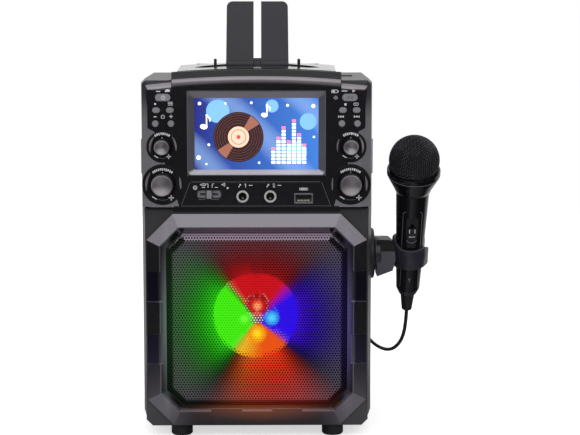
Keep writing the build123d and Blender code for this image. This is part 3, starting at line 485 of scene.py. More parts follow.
def make_cord():
    line = cord_line()
    parting = at(*PARTING)
    cut = min(range(len(line)), key=lambda i: (line[i] - parting).length)
    hanging, stored = line[:cut + 1], line[cut:]
    upper, lower = (piece(name, *tube(part, CORD_RADIUS * MM, sides), cord_vinyl, None, "cord_black")
                    for name, part, sides in (("mic_cord_hanging", hanging, FOLLOWING_SIDES),
                                              ("mic_cord_stored", stored, STORED_SIDES)))
    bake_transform(upper)
    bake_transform(lower)
    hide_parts("mic_cord")
    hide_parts("mic_cord", "mic_cord_coil")


make_cord()


# ---------------------------------------------------------------- finishes of the CAD pieces
def finish(material, *names):
    """Gives CAD nodes a finish; their shapes stay as they are."""
    for name in names:
        mesh = nodes[name].data
        mesh.materials.clear()
        mesh.materials.append(material)


def finish_nodes():
    keys = [name for name in nodes if name.startswith("button_")]
    finish(charcoal_abs, "main_shell", "front_baffle", "rear_cover")
    finish(console_abs, "console_shell")
    finish(piano_black, "control_panel", "door_panel")
    finish(graphite_lacquer, "grille_frame")
    finish(silver_lacquer, "brow_band")
    finish(bezel_lacquer, "screen_bezel")
    finish(key_abs, "function_slider", *keys)
    finish(graphite_abs, "tablet_stand")
    finish(foot_rubber, "feet", "door_pins")
    finish(black_abs, "holder_base", "mic_holder", "open_button", "switch_base",
           "disc_deck", "turntable", "pickup_sled", "light_bracket", "rear_sockets", "lcd_module")
    finish(nickel, "mic_plug", "power_light")
    finish(satin_nickel, "mic_jacks")
    finish(steel, "usb_port", "rear_screws", "hinge_pins", "guide_rods", "spindle_motor", "speaker_basket")
    finish(cone_paper, "speaker_cone")
    finish(board_mask, "main_board", "amplifier_board")
    finish(shrink_wrap, "battery_pack")
    finish(mic_enamel, "mic_handle")
    finish(mic_gloss, "mic_collar")
    finish(black_abs, "mic_switch", "screen_lens", "light_lenses", "speaker_grille")
    finish(ball_foam, "mic_ball")
    finish(cord_vinyl, "mic_relief")


finish_nodes()


# ---------------------------------------------------------------- flat shapes in the front view
def strokes(lines, width):
    """Each line of (X, Z) points as a row of quads that wide, with a square corner at each joint."""
    shapes = []
    for line in lines:
        for (x0, z0), (x1, z1) in zip(line, line[1:]):
            run = math.hypot(x1 - x0, z1 - z0) or 1.0
            ax, az = (x1 - x0) / run * width / 2, (z1 - z0) / run * width / 2
            shapes.append([(x0 - ax - az, z0 - az + ax), (x0 - ax + az, z0 - az - ax),
                           (x1 + ax + az, z1 + az - ax), (x1 + ax - az, z1 + az + ax)])
    return shapes


def arc(x, z, radius, start, end, steps=24):
    """Points round a circle, from one angle in degrees to another."""
    angles = [math.radians(start + (end - start) * i / steps) for i in range(steps + 1)]
    return [(x + radius * math.cos(a), z + radius * math.sin(a)) for a in angles]


def disc(x, z, radius, steps=32):
    return arc(x, z, radius, 0, 360 - 360 / steps, steps - 1)


def bar(x, z, width, height):
    return [(x - width / 2, z - height / 2), (x + width / 2, z - height / 2),
            (x + width / 2, z + height / 2), (x - width / 2, z + height / 2)]


def arrow(x, z, size, way):
    """A triangle that points right (1) or left (-1)."""
    return [(x - way * size / 2, z - size / 2), (x + way * size / 2, z), (x - way * size / 2, z + size / 2)]


def box_line(x0, z0, x1, z1):
    """A rectangle's outline, from one corner and the corner across from it."""
    return [(x0, z0), (x1, z0), (x1, z1), (x0, z1), (x0, z0)]


def plus(x, z, size, thick):
    return [bar(x, z, size, thick), bar(x, z, thick, size)]


def band(x, z, inner, outer, start=0, end=360, steps=24):
    """A ring, or a part of one, as quads."""
    a, b = arc(x, z, inner, start, end, steps), arc(x, z, outer, start, end, steps)
    return [[a[i], b[i], b[i + 1], a[i + 1]] for i in range(steps)]


def plates(name, shapes, y0, y1, material, body="cabinet", slot=None, angle=35.0):
    """Flat shapes of the front view, each a thin plate from depth y0 (front) to y1."""
    points, faces = [], []
    for shape in shapes:
        area = sum(a[0] * b[1] - b[0] * a[1] for a, b in zip(shape, shape[1:] + shape[:1]))
        if area < 0:
            shape = shape[::-1]
        start = len(points)
        points += [at(x, y, z) for y in (y0, y1) for x, z in shape]
        faces += [[start + i for i in face] for face in grid_faces(2, len(shape), inward=True, capped=True)]
    return piece(name, points, faces, material, body, slot, angle)


# ---------------------------------------------------------------- the loudspeaker and its lights
SPEAKER_Z = 94.5
DISC_X, DISC_Z, DISC_RADIUS = -0.9, 98.3, 33.3  # the bright disc that the lamps throw on the steel
WARM_WHITE = np.array([1.0, 0.84, 0.70])

# Where each quarter begins, the blur of that edge, how whitish the holes are along it, the quarter's colour
# in the disc and outside it, how strong that is at the disc's edge, and over what distance it dies away
QUARTERS = [
    (-37.3, 12.0, 0.2, "2a01ea", "4800ff", 0.62, 17.0),
    (44.7, 26.0, 0.0, "cc0612", "ff141c", 0.31, 19.0),
    (128.4, 9.0, 0.55, "42f004", "30ff10", 0.64, 14.5),
    (233.6, 12.0, 0.25, "f05408", "ff3608", 0.95, 33.0),
]
AMBER_QUARTER = 3  # the low quarter turns amber beside the green one: in the disc, and outside it
AMBER_DISC, AMBER_FAR = "eebb20", "b07010"

LAMPS = {  # X, Z above the speaker's centre, lens colour, hot colour, size of its glare
    "light_red": (0.4, 11.2, "d01206", "ffb078", 5.9),
    "light_blue": (11.6, 1.6, "2f9cf4", "62d4ff", 5.9),
    "light_amber": (0.1, -10.9, "fb9a08", "ffe21a", 7.4),
    "light_green": (-10.0, 0.6, "44f006", "72ff3c", 6.2),
}


def rgb(colour):
    return np.array(linear(colour)[:3])


def toned(first, second, share):
    """One colour turning into another as share goes from 0 to 1."""
    return first * (1 - share) + second * share


def wash(x, z):
    """What the lamps throw at a place on the front: its colour, and how whitish the holes are there."""
    along = math.degrees(math.atan2(z - SPEAKER_Z, x))
    reach = math.hypot(x - DISC_X, z - DISC_Z)
    inside = 1 - eased((reach - DISC_RADIUS + 0.4) / 0.8)
    disc_light, far_light, whitish = np.zeros(3), np.zeros(3), 0.0
    for i, (start, blur, dots, disc_hex, far_hex, strength, fall) in enumerate(QUARTERS):
        end, end_blur = QUARTERS[(i + 1) % 4][:2]
        width = (end - start) % 360
        past = (along - start + 180) % 360 - 180
        past = past if past > width / 2 - 180 else past + 360
        colour, outside = rgb(disc_hex), rgb(far_hex)
        if i == AMBER_QUARTER:
            amber = eased((52 - past) / 50)
            colour = toned(colour, rgb(AMBER_DISC), amber)
            outside = toned(outside, rgb(AMBER_FAR), 0.6 * amber)
        disc_light += min(eased(past / blur + 0.5), eased((width - past) / end_blur + 0.5)) * colour
        whitish = max(whitish, dots * (1 - min(abs(past) / blur * 1.4, 1.0)))
        dying = strength * math.exp(-max(reach - DISC_RADIUS, 0) / fall)
        inward = eased((min(past, width - past) + (1 if i == AMBER_QUARTER else 9)) / 27)
        far_light += inward * dying * outside
    light = toned(far_light, disc_light, inside)
    for lamp_x, lamp_z, lens_hex, hot_hex, size in LAMPS.values():
        off = math.hypot(x - lamp_x, z - SPEAKER_Z - lamp_z)
        glare = 1 - eased((off - 0.75 * size) / (0.4 * size))
        hot = 1 - eased((off - 0.1 * size) / (0.72 * size))
        light = toned(light, toned(rgb(lens_hex), rgb(hot_hex), hot), glare)
    return light, whitish * inside


def tinted(thing, colour_at, shade_at=lambda x, z: 1.0):
    """Stores the lamps' light at each point of a mesh as painted glow, and in its alpha how pale the finish
    is painted there, with painted light and shade in it.
    """
    mesh = thing.data
    layer = mesh.color_attributes.new("glow", "FLOAT_COLOR", "POINT")
    for i, vertex in enumerate(mesh.vertices):
        place = (vertex.co - ORIGIN) / MM
        layer.data[i].color = (*colour_at(place.x, place.z), shade_at(place.x, place.z))


def lit(name, colour, roughness, sheen, grain_size):
    """A surface that the lamps fall on: its own finish, as pale as the stored painted tone, and their light
    painted on as glow.
    """
    material, tree = new_material(name)
    fine = grain(tree, grain_size).outputs["Fac"]
    glow = add(tree, "VertexColor", {"layer_name": "glow"})
    shader = add(tree, "BsdfPrincipled", {"Specular IOR Level": sheen, "Emission Strength": 1.0}, {
        "Base Color": blended(tree, glow.outputs["Alpha"], "040405", colour),
        "Emission Color": glow.outputs["Color"],
        "Roughness": spread(tree, fine, roughness - 0.1, roughness + 0.1, 0.0, 1.0),
        "Normal": relief(tree, fine, grain_size, 0.01, 0.1)})
    close(tree, shader)
    return material


# Punched steel in a thin black coat: the lamps' light is painted on it as glow; its upper slope is painted
# palest as if lit from above, its other slopes are painted near black as shade, it is near black in the
# bright disc where the painted glow takes over, and its face grows paler towards the corners
punched_steel = lit("punched_coated_steel", "a294a6", 0.45, 0.12, 0.4)
# Black paper cone: the lamps' light is painted on it as glow, almost whole
lit_cone = lit("lamplit_paper_cone", "1c1c20", 0.75, 0.1, 0.9)
# Loose-woven black cloth over the baffle; its near black also stands in for the shade behind the grille,
# and the lamps' light is painted on it as glow
lit_cloth = lit("black_speaker_cloth", "060607", 0.9, 0.05, 0.5)

FACE = (65.5, 31.0, 157.0, 10.0)   # half width, low, high, corner, of the tray's flat face
FACE_Y, TRAY_Y = 1.5, 7.0          # its depth, and the depth of the tray's edge
HOLE_PITCH, HOLE_RADIUS, STEEL = 2.2, 0.68, 0.7
CELL_RADIUS = HOLE_PITCH / math.sqrt(3)  # from a hexagonal cell's middle to its corners
BORDER = ((4.3, 4.3), (5.5, 5.2))  # the plain border: how far outside the face, and how far behind it


def outside_octagon(x, z, octagon):
    """How far a place lies outside an octagon (negative inside)."""
    half, low, high, corner = octagon
    middle = (low + high) / 2
    x, z = abs(x), abs(z - middle)
    tall = (high - low) / 2
    return max(x - half, z - tall, (x + z - half - tall + corner) / math.sqrt(2))


def tray_depth(x, z):
    return FACE_Y + min(max(outside_octagon(x, z, FACE), 0.0), TRAY_Y - FACE_Y)


def make_grille():
    """The pressed tray: hexagonal cells, each with a round hole, over a flat face and sloping sides."""
    half, low, high, corner = FACE
    reach = TRAY_Y - FACE_Y - 0.5
    row_step = HOLE_PITCH * math.sqrt(3) / 2
    points, faces, shared = [], [], {}

    def corner_point(x, z):
        key = (round(x * 50), round(z * 50))
        if key not in shared:
            shared[key] = len(points)
            points.append(at(x, tray_depth(x, z), z))
        return shared[key]

    rows = int((high - low + 2 * reach) / row_step)
    for row in range(rows + 1):
        z = low - reach + row * row_step
        shift = HOLE_PITCH / 2 * (row % 2)
        count = int((half + reach) / HOLE_PITCH) + 1
        for column in range(-count, count + 1):
            x = column * HOLE_PITCH + shift
            if outside_octagon(x, z, FACE) > reach:
                continue
            rim = [corner_point(x + CELL_RADIUS * math.sin(a), z + CELL_RADIUS * math.cos(a))
                   for a in round_angles(6)]
            start = len(points)
            hole = [(x + HOLE_RADIUS * math.sin(a), z + HOLE_RADIUS * math.cos(a))
                    for a in round_angles(12)]
            points += [at(a, tray_depth(a, b) + deep, b) for deep in (0, STEEL) for a, b in hole]
            for k in range(6):
                faces.append([rim[k], rim[(k + 1) % 6], start + (2 * k + 2) % 12, start + 2 * k + 1,
                              start + 2 * k])
            faces += [[start + i for i in face] for face in grid_faces(2, 12)]
    grille = piece("speaker_grille_punched", points, faces, punched_steel, slot="grille_black", angle=30)
    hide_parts("speaker_grille")
    rings = []
    for grow, behind in BORDER:
        edge = []
        for sx, sz in ((1, 1), (-1, 1), (-1, -1), (1, -1)):
            middle, tall = (low + high) / 2, (high - low) / 2 + grow
            cut = corner + grow * (2 - math.sqrt(2))
            a = (sx * (half + grow), middle + sz * (tall - cut))
            b = (sx * (half + grow - cut), middle + sz * tall)
            edge += [a, b] if sx * sz > 0 else [b, a]
        rings.append([at(x, FACE_Y + behind + 0.3, z) for x, z in edge])
    margin = skin("speaker_grille_margin", rings, punched_steel, True, True, slot="grille_black", angle=30)
    for thing in (grille, margin):
        tinted(thing, steel_glow, steel_painted_tone)


def off_middle(x, z):
    """How far a place is from the middle of the four lamps, counted more upwards than sideways."""
    return math.hypot(x, (z - SPEAKER_Z - 0.6) * 1.3)


def steel_glow(x, z):
    """The steel glows with its quarter's colour, and stays dim where two quarters meet, in the middle,
    in a ring over the red lamp and on the tray's slopes."""
    light, meeting = wash(x, z)
    middle = 1 - eased((off_middle(x, z) - 3.6) / 3.0)
    red_x, red_z = LAMPS["light_red"][:2]
    off_red = math.hypot(x - red_x, z - SPEAKER_Z - red_z)
    ring = eased((off_red - 5.6) / 1.2) * (1 - eased((off_red - 8.2) / 3.0)) if z > SPEAKER_Z + 6 else 0
    kept = (1 - 0.8 * min(1.0, meeting * 1.7)) * (1 - 0.7 * middle) * (1 - 0.55 * ring)
    return light * kept * (1 - 0.6 * slope_share(x, z))


def slope_share(x, z):
    """How far onto the tray's slopes a place lies: 0 on its flat face, 1 from a millimetre outside it."""
    return min(max(outside_octagon(x, z, FACE), 0.0), 1.0)


def steel_painted_tone(x, z):
    """Painted light and shade in the steel's tone: pale on the upper slope as if lit from above, near black
    on the others and in the bright disc, and paler towards the corners.
    """
    slope = slope_share(x, z)
    high = 1.0 if z > FACE[2] and abs(x) < FACE[0] - FACE[3] + (z - FACE[2]) else 0.03
    corner_paling = eased((math.hypot(x, z - SPEAKER_Z) - 40) / 46)
    return slope * high + (1 - slope) * (0.01 + 0.21 * corner_paling)


def lathe(name, profile, material, x=0.0, z=SPEAKER_Z, steps=72, **options):
    """A turned shape about a front-to-back axis, from (radius, depth) pairs."""
    rows = [[at(x + radius * math.cos(a), depth, z + radius * math.sin(a)) for a in round_angles(steps)]
            for radius, depth in profile]
    return skin(name, rows, material, True, **options)


def behind_glow(x, z):
    """Behind the steel: bright inside the disc, whitish where two quarters meet, in the middle and in a
    thin ring over the red lamp."""
    light, meeting = wash(x, z)
    if math.hypot(x - DISC_X, z - DISC_Z) > DISC_RADIUS:
        return light * 0.12
    middle = 1 - eased((off_middle(x, z) - 4.0) / 2.5)
    ring = 1 - min(abs(math.hypot(x - 0.4, z - SPEAKER_Z - 10.0) - 8.4) / 0.9, 1.0)
    return light * 0.72 * (1 - middle) + WARM_WHITE * max(0.9 * middle, 0.42 * meeting, 0.5 * ring)


CLOTH = (70.0, 26.8, 162.4, 12.0)  # the cloth's octagon, as FACE gives the steel's
CLOTH_INNER, CLOTH_Y = 37.0, 7.9
CONE_RADIUS, ROLL_WIDTH, ROLL_Y = 37.6, 3.6, 11.6  # the surround's outer edge, its width and depth
RIBBED_RADIUS, RIBBED_WIDTH, RIBBED_STEPS = 33.6, 22.0, 44
CAP_RADIUS, CAP_Y = 11.4, 25.2


def make_loudspeaker():
    """The cone with its roll surround and ribs, the dust cap in the middle, and the cloth around it."""
    roll = [(CONE_RADIUS - ROLL_WIDTH * i / 8, ROLL_Y - 1.6 * math.sin(math.pi * i / 8)) for i in range(9)]
    ribs = [(RIBBED_RADIUS - RIBBED_WIDTH * i / RIBBED_STEPS,
             12.0 + 13.5 * (i / RIBBED_STEPS) + 0.22 * math.sin(i * math.pi / 2))
            for i in range(1, RIBBED_STEPS + 1)]
    cap = [(CAP_RADIUS * math.cos(a), CAP_Y - 4.6 * math.sin(a))
           for a in (math.pi / 2 * i / 10 for i in range(11))]
    cone = lathe("speaker_cone_ribbed", roll + ribs + cap, lit_cone, slot="cone_paper")
    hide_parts("speaker_cone")
    tinted(cone, behind_glow)
    rows = [[], [], [], []]
    for k, a in enumerate(round_angles(96)):
        outer = CLOTH_INNER
        while outside_octagon(outer * math.cos(a), SPEAKER_Z + outer * math.sin(a), CLOTH) < 0:
            outer += 0.5
        for row, share in zip(rows, (0.0, 0.33, 0.66, 1.0)):
            reach = CLOTH_INNER + (outer - CLOTH_INNER) * share
            row.append(at(reach * math.cos(a), CLOTH_Y + 0.05 * (k % 2), SPEAKER_Z + reach * math.sin(a)))
    cloth = skin("speaker_cloth", rows, lit_cloth, True, True, slot="grille_black")
    tinted(cloth, behind_glow)


def make_lamps():
    """Four clear domes on the bar behind the grille, each lit in its own colour."""
    radius, foot, tip = 2.5, 5.3, 1.1  # the tip stands that far in front of the foot
    quarter = [math.pi / 2 * i / 6 for i in range(1, 7)]
    dome = [(radius, 8.2), (radius, foot)]
    dome += [(radius * math.cos(a), foot - tip * math.sin(a)) for a in quarter]
    for name, (x, z, colour, _, _) in LAMPS.items():
        lens = lathe(name, dome, glowing("lit_dome_" + name[6:], colour), x, SPEAKER_Z + z, 24,
                     slot="light_red")
        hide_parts("light_lenses")


def make_lamp_bar():
    """The bar and round plate that carry the lamps: painted with the same glow as what is behind, so that
    they vanish.
    """
    half, low, high = 4.5, 37, 152
    outline = arc(0, SPEAKER_Z, 16, -73.7, 73.7, 16) + [(half, high), (-half, high)]
    outline += arc(0, SPEAKER_Z, 16, 106.3, 253.7, 16) + [(-half, low), (half, low)]
    edge = []
    for (x0, z0), (x1, z1) in zip(outline, outline[1:] + outline[:1]):
        steps = max(1, int(math.hypot(x1 - x0, z1 - z0) / 3))
        edge += [(x0 + (x1 - x0) * k / steps, z0 + (z1 - z0) * k / steps) for k in range(steps)]
    rings = 8
    points = [at(x * ring / rings, 6.4, SPEAKER_Z + (z - SPEAKER_Z) * (ring / rings) ** 0.9)
              for ring in range(1, rings + 1) for x, z in edge]
    faces = grid_faces(rings, len(edge), inward=True) + [list(range(len(edge)))]
    bracket = piece("light_bracket_painted", points, faces, lit_cone, slot="black_satin")
    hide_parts("light_bracket")
    tinted(bracket, behind_glow)


make_grille()
make_loudspeaker()
make_lamps()
make_lamp_bar()


# ---------------------------------------------------------------- the brow band
BROW_HALF = 65  # half its width


def arched(x, top, drop, half=BROW_HALF):
    """An arch's height at x: top in the middle, and drop less at half its width."""
    return top - drop * (x / half) ** 2


def make_brow():
    """The arched band over the screen, rounded in section, so that it carries one long highlight."""
    points, across, around = [], 52, 10
    for i in range(across + 1):
        x = -BROW_HALF + 2 * BROW_HALF * i / across
        low, high = arched(x, 280.4, 2.9), arched(x, 285.4, 2.5)
        for j in range(around + 1):
            share = j / around
            bulge = math.sin(math.pi * share ** 0.8) ** 0.6 if 0 < j < around else 0.0
            points.append(at(x, -1.4 * bulge, low + (high - low) * share))
    faces = grid_faces(across + 1, around + 1, joined=False, inward=True, capped=True)
    lower_edge = range(0, len(points), around + 1)
    faces.append([*reversed(lower_edge), *(i + around for i in lower_edge)])
    brow = piece("brow_band_rounded", points, faces, silver_lacquer, slot="trim_silver", angle=50)
    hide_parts("brow_band")


make_brow()


# ---------------------------------------------------------------- the screen
WINDOW = (48.0, 212.7, 268.4)  # half width, low, high
RECORD = (-14, 238)
BAR_COUNTS = (4, 7, 10, 6, 12, 8, 5)
BAR_STEP, BLOCK_STEP = 4.0, 2.7  # from one sound bar to the next, and from one of its blocks to the next
SPARKS = ((-44, 264, 1.3), (-37, 232, 1.0), (-24, 264, 0.8), (24, 262.5, 1.1), (44, 262, 1.5),
          (-45, 222, 1.7), (2, 218, 0.9), (44.5, 238, 0.9), (-4, 264.5, 1.0), (-39, 217, 0.8))


def screen_sky():
    """The display's background: deep blue to azure, with slanting beams."""
    material, tree = new_material("lit_display_blue")
    left, right = at(-WINDOW[0], 0, 0).x, at(WINDOW[0], 0, 0).x
    across = spread(tree, split(tree)["X"], 0.0, 1.0, left, right)
    beams = add(tree, "TexWave", {"bands_direction": "DIAGONAL", "Scale": 11.0, "Distortion": 2.0,
                                  "Detail": 0.5}, {"Vector": add(tree, "TexCoord").outputs["Object"]})
    shown = add(tree, "Mix", {"data_type": "RGBA", 7: linear("9cc4ff")},
                {0: spread(tree, beams.outputs["Fac"], 0.0, 0.55, 0.45, 1.0),
                 6: blended(tree, across, "16208c", "3f86e8")})
    shader = add(tree, "BsdfPrincipled", {"Base Color": (0.01, 0.01, 0.02, 1), "Roughness": 0.3,
                                          "Emission Strength": 1.0}, {"Emission Color": shown.outputs[2]})
    close(tree, shader)
    return material


def note(x, z, size):
    """A quaver: a round head, its stem and its flag."""
    head = [(x + size * 0.3 * math.cos(a) - 0.05 * size * math.sin(a), z + size * 0.22 * math.sin(a))
            for a in round_angles(16)]
    stem = strokes([[(x + size * 0.26, z), (x + size * 0.26, z + size)],
                    [(x + size * 0.26, z + size), (x + size * 0.52, z + size * 0.72),
                     (x + size * 0.55, z + size * 0.5)]], size * 0.1)
    return [head] + stem


def make_screen():
    """A display with a generic design: a record, sound bars, notes and points of light on a blue stage."""
    half, low, high = WINDOW
    sheet = [bar(0, (low + high) / 2, 2 * half + 3, high - low + 3)]
    blocks = [[bar(13 + BAR_STEP * i, 218.2 + BLOCK_STEP * j, 3.0, 1.9) for j in range(count + 1)]
              for i, count in enumerate(BAR_COUNTS)]
    layers = [
        ("display_sky", sheet, screen_sky()),
        ("display_haze", [disc(-30, 258, 9), disc(31, 226, 8), disc(12, 262, 5), disc(40, 250, 6.5)],
         glowing("lit_display_haze", "6fa4f4")),
        ("display_record", [disc(*RECORD, 19.5, 64)], glowing("lit_display_vinyl", "2a1418")),
        ("display_grooves", [quad for r in (10.5, 12.5, 14.5, 16.5, 18.3)
                             for quad in band(*RECORD, r, r + 0.35, steps=64)],
         glowing("lit_display_groove", "5c3630")),
        ("display_sheen", [quad for start in (32, 212)
                           for quad in band(*RECORD, 8.5, 19.0, start, start + 28, 12)],
         glowing("lit_display_sheen", "8a5848")),
        ("display_label", [disc(*RECORD, 8.2, 40)], glowing("lit_display_label", "e9b49c")),
        ("display_pin", [disc(*RECORD, 1.6, 20)] + band(*RECORD, 5.4, 5.9, steps=40),
         glowing("lit_display_pin", "b04a48")),
        ("display_bars", [block for column in blocks for block in column[:-1]],
         glowing("lit_display_white", "f4f8ff")),
        ("display_tops", [column[-1] for column in blocks], glowing("lit_display_pink", "ff7aa0")),
        ("display_notes", note(-41, 246, 9) + note(6, 255, 8) + [disc(x, z, r, 20) for x, z, r in SPARKS],
         glowing("lit_display_notes", "ffffff")),
    ]
    for step, (name, shapes, material) in enumerate(layers):
        layer = plates(name, shapes, 6.58 - 0.02 * step, 6.6, material, slot="screen_module")
        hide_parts("screen_lens")
    # Clear acrylic: its front mirrors more the more it is seen at a slant, its back lets all through
    glass, tree = new_material("clear_display_window")
    clear = add(tree, "BsdfTransparent")
    mirror = add(tree, "BsdfGlossy", {"Roughness": 0.03})
    lean, side = add(tree, "Fresnel", {"IOR": 1.45}), add(tree, "NewGeometry")
    outer = add(tree, "Math", {"operation": "SUBTRACT", 0: 1.0}, {1: side.outputs["Backfacing"]})
    share = add(tree, "Math", {"operation": "MULTIPLY"}, {0: lean.outputs[0], 1: outer.outputs[0]})
    mixed = add(tree, "MixShader", {}, {0: share.outputs[0], 1: clear.outputs[0], 2: mirror.outputs[0]})
    close(tree, mixed)
    pane = plates("screen_pane", sheet, 5.6, 6.2, glass, slot="screen_glass")
    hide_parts("screen_lens")


make_screen()


# ---------------------------------------------------------------- the microphone's woven ball
CLIP_CENTRE = Vector((123.9, 61.0, 134.7))
MIC_LEAN = math.radians(25.3)
MIC_AXIS = Vector((0, -math.sin(MIC_LEAN), math.cos(MIC_LEAN)))
BALL_CENTRE, BALL_RADIUS, BALL_FROM = 92.6, 20.2, 83.6
WIRES, WIRE_RADIUS = 16, 0.27


def make_ball():
    """Crossed wires over a sphere of five patches, each wire over and under the ones it crosses."""
    centre = CLIP_CENTRE + MIC_AXIS * BALL_CENTRE
    side = Vector((1, 0, 0))
    upright = Matrix((side, MIC_AXIS.cross(side), MIC_AXIS)).transposed()
    turn = upright @ Matrix.Rotation(math.radians(45), 3, "Z")
    core = BALL_RADIUS - 2.2 * WIRE_RADIUS
    points, faces = [], []
    patches = [Matrix.Identity(3), Matrix.Rotation(math.pi / 2, 3, "Z"), Matrix.Rotation(math.pi, 3, "Z"),
               Matrix.Rotation(-math.pi / 2, 3, "Z"), Matrix.Rotation(-math.pi / 2, 3, "Y")]
    fine = 3  # steps from one crossing to the next
    for patch in patches:
        for crossing in (0, 1):
            for wire in range(WIRES):
                across = (wire + 0.5) / WIRES * 90 - 45
                line = []
                for step in range(WIRES * fine + 1):
                    along = step / (WIRES * fine) * 90 - 45
                    a, b = (across, along) if crossing else (along, across)
                    way = Vector((1, math.tan(math.radians(a)), math.tan(math.radians(b)))).normalized()
                    lift = math.cos(math.pi * (step / fine - 0.5 + wire + crossing)) * WIRE_RADIUS
                    place = turn @ patch @ way * (core + lift)
                    if place.dot(MIC_AXIS) + BALL_CENTRE > BALL_FROM:
                        line.append(at(*(centre + place)))
                if len(line) > 2:
                    start = len(points)
                    wire_points, wire_faces = tube(line, WIRE_RADIUS * MM, 4)
                    points += wire_points
                    faces += [[start + i for i in face] for face in wire_faces]
    ball = piece("mic_ball_woven", points, faces, wire_enamel, "microphone", "mic_mesh", 60)
    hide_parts("mic_ball")
    rows, rings = [], 14
    for ring in range(rings + 1):
        lean = math.pi * 0.64 * (1 - ring / rings)
        ways = (Vector((math.sin(lean) * math.cos(a), math.sin(lean) * math.sin(a), math.cos(lean)))
                for a in round_angles(40))
        rows.append([at(*(centre + upright @ way * (BALL_RADIUS - 1.1))) for way in ways])
    foam = skin("mic_ball_foam", rows, ball_foam, True, body="microphone", slot="mic_mesh", angle=60)
    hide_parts("mic_ball")


make_ball()


# ---------------------------------------------------------------- trims over the screen
ARCH_SLOPE, SHOULDER_SLOPE = 0.822, 0.577  # how far back the arch and the shoulders lean, for their height
ARCH_FOOT, SHOULDER_FOOT = 284.2, 275.2  # the height at which they start to lean
ARCH_HALF = 64.6
SHOULDERS = (  # a strip's corners in the front view: two outer then two inner, the low one first
    ("left", (-83.4, 274.7), (-85.5, 278.4), (-64.9, 276.8), (-64.9, 280.6)),
    ("right", (83.2, 274.4), (85.6, 277.9), (64.9, 276.0), (64.9, 279.7)),
)


def make_trims():
    """The black arch above the brow band, and a silver strip with a dark line along each shoulder."""
    rows = []
    for i in range(41):
        x = -ARCH_HALF + 2 * ARCH_HALF * i / 40
        low, high = arched(x, 285.5, 2.5), arched(x, 290.0, 2.0, 65.4)
        zs = (low + (high - low) * j / 6 for j in range(7))
        rows.append([at(x, max(0.0, (z - ARCH_FOOT) * ARCH_SLOPE) - 0.1, z) for z in zs])
    skin("hood_arch_black", rows, piano_black, slot="black_gloss")
    shares = [i / 8 for i in range(9)]
    for side, low_out, top_out, low_in, top_in in SHOULDERS:
        rows = []
        for height in (j / 6 for j in range(7)):
            lift = 0.15 + 0.5 * math.sin(math.pi * height)
            spots = (part_way(part_way(low_out, low_in, share), part_way(top_out, top_in, share), height)
                     for share in shares)
            rows.append([at(x, max(0.0, (z - SHOULDER_FOOT) * SHOULDER_SLOPE) - lift, z) for x, z in spots])
        skin("shoulder_trim_" + side, rows, silver_lacquer, slot="trim_silver")
        line = [[at(x, (z + up - SHOULDER_FOOT) * SHOULDER_SLOPE - 0.12, z + up) for up in (1.2, 1.9)]
                for x, z in (part_way(top_out, top_in, share) for share in shares)]
        skin("shoulder_line_" + side, line, piano_black, slot="black_gloss")


def make_seam_shadows():
    """Black strips as painted shadow: in the seam between console and cabinet, and along the panel's lower
    edge below the sockets.
    """
    plates("console_seam_shadow", [bar(0, 181.7, 172.0, 1.5)], PLATE_FRONT - 0.1, PLATE_FRONT, foot_rubber,
           slot="rubber_black")
    plates("panel_apron_shadow", [bar(0, 181.2, 130.0, 2.6)], PLATE_FRONT - 0.15, PLATE_FRONT, piano_black,
           slot="black_gloss")
    plates("panel_lip_shadow", [bar(0, 184.0, 128.0, 1.6)], -0.06, 0.0, piano_black, slot="black_gloss")


make_trims()
make_seam_shadows()


# ---------------------------------------------------------------- knobs and their dials
KNOBS = {  # X, Z, radius of the dial, radius of the cap, where its two painted highlights lie as crescents
    "knob_echo": (-72.7, 230.9, 11.6, 6.05, ((8.6, 10.4, 122, 207), (9.6, 11.2, -17, 46))),
    "knob_mic_volume": (-72.7, 201.6, 15.2, 8.5, ((11.6, 13.5, 134, 201), (13.0, 14.6, -15, 26))),
    "knob_balance": (72.7, 230.9, 11.6, 6.05, ((8.7, 10.4, -31, 51), (9.5, 10.9, 143.6, 202))),
    "knob_master_volume": (72.7, 201.6, 15.2, 8.5, ((11.8, 13.3, -23, 31), (13.4, 14.8, 158, 200))),
}
SCALES = {  # for a dial's radius: the ticks' inner and outer radius, first and last angle and number, and
    # the radius and half size of its plus and minus
    11.6: (9.3, 11.2, 55, 125, 8, 8.9, 1.35),
    15.2: (11.0, 12.9, 50, 130, 11, 12.1, 1.7),
}


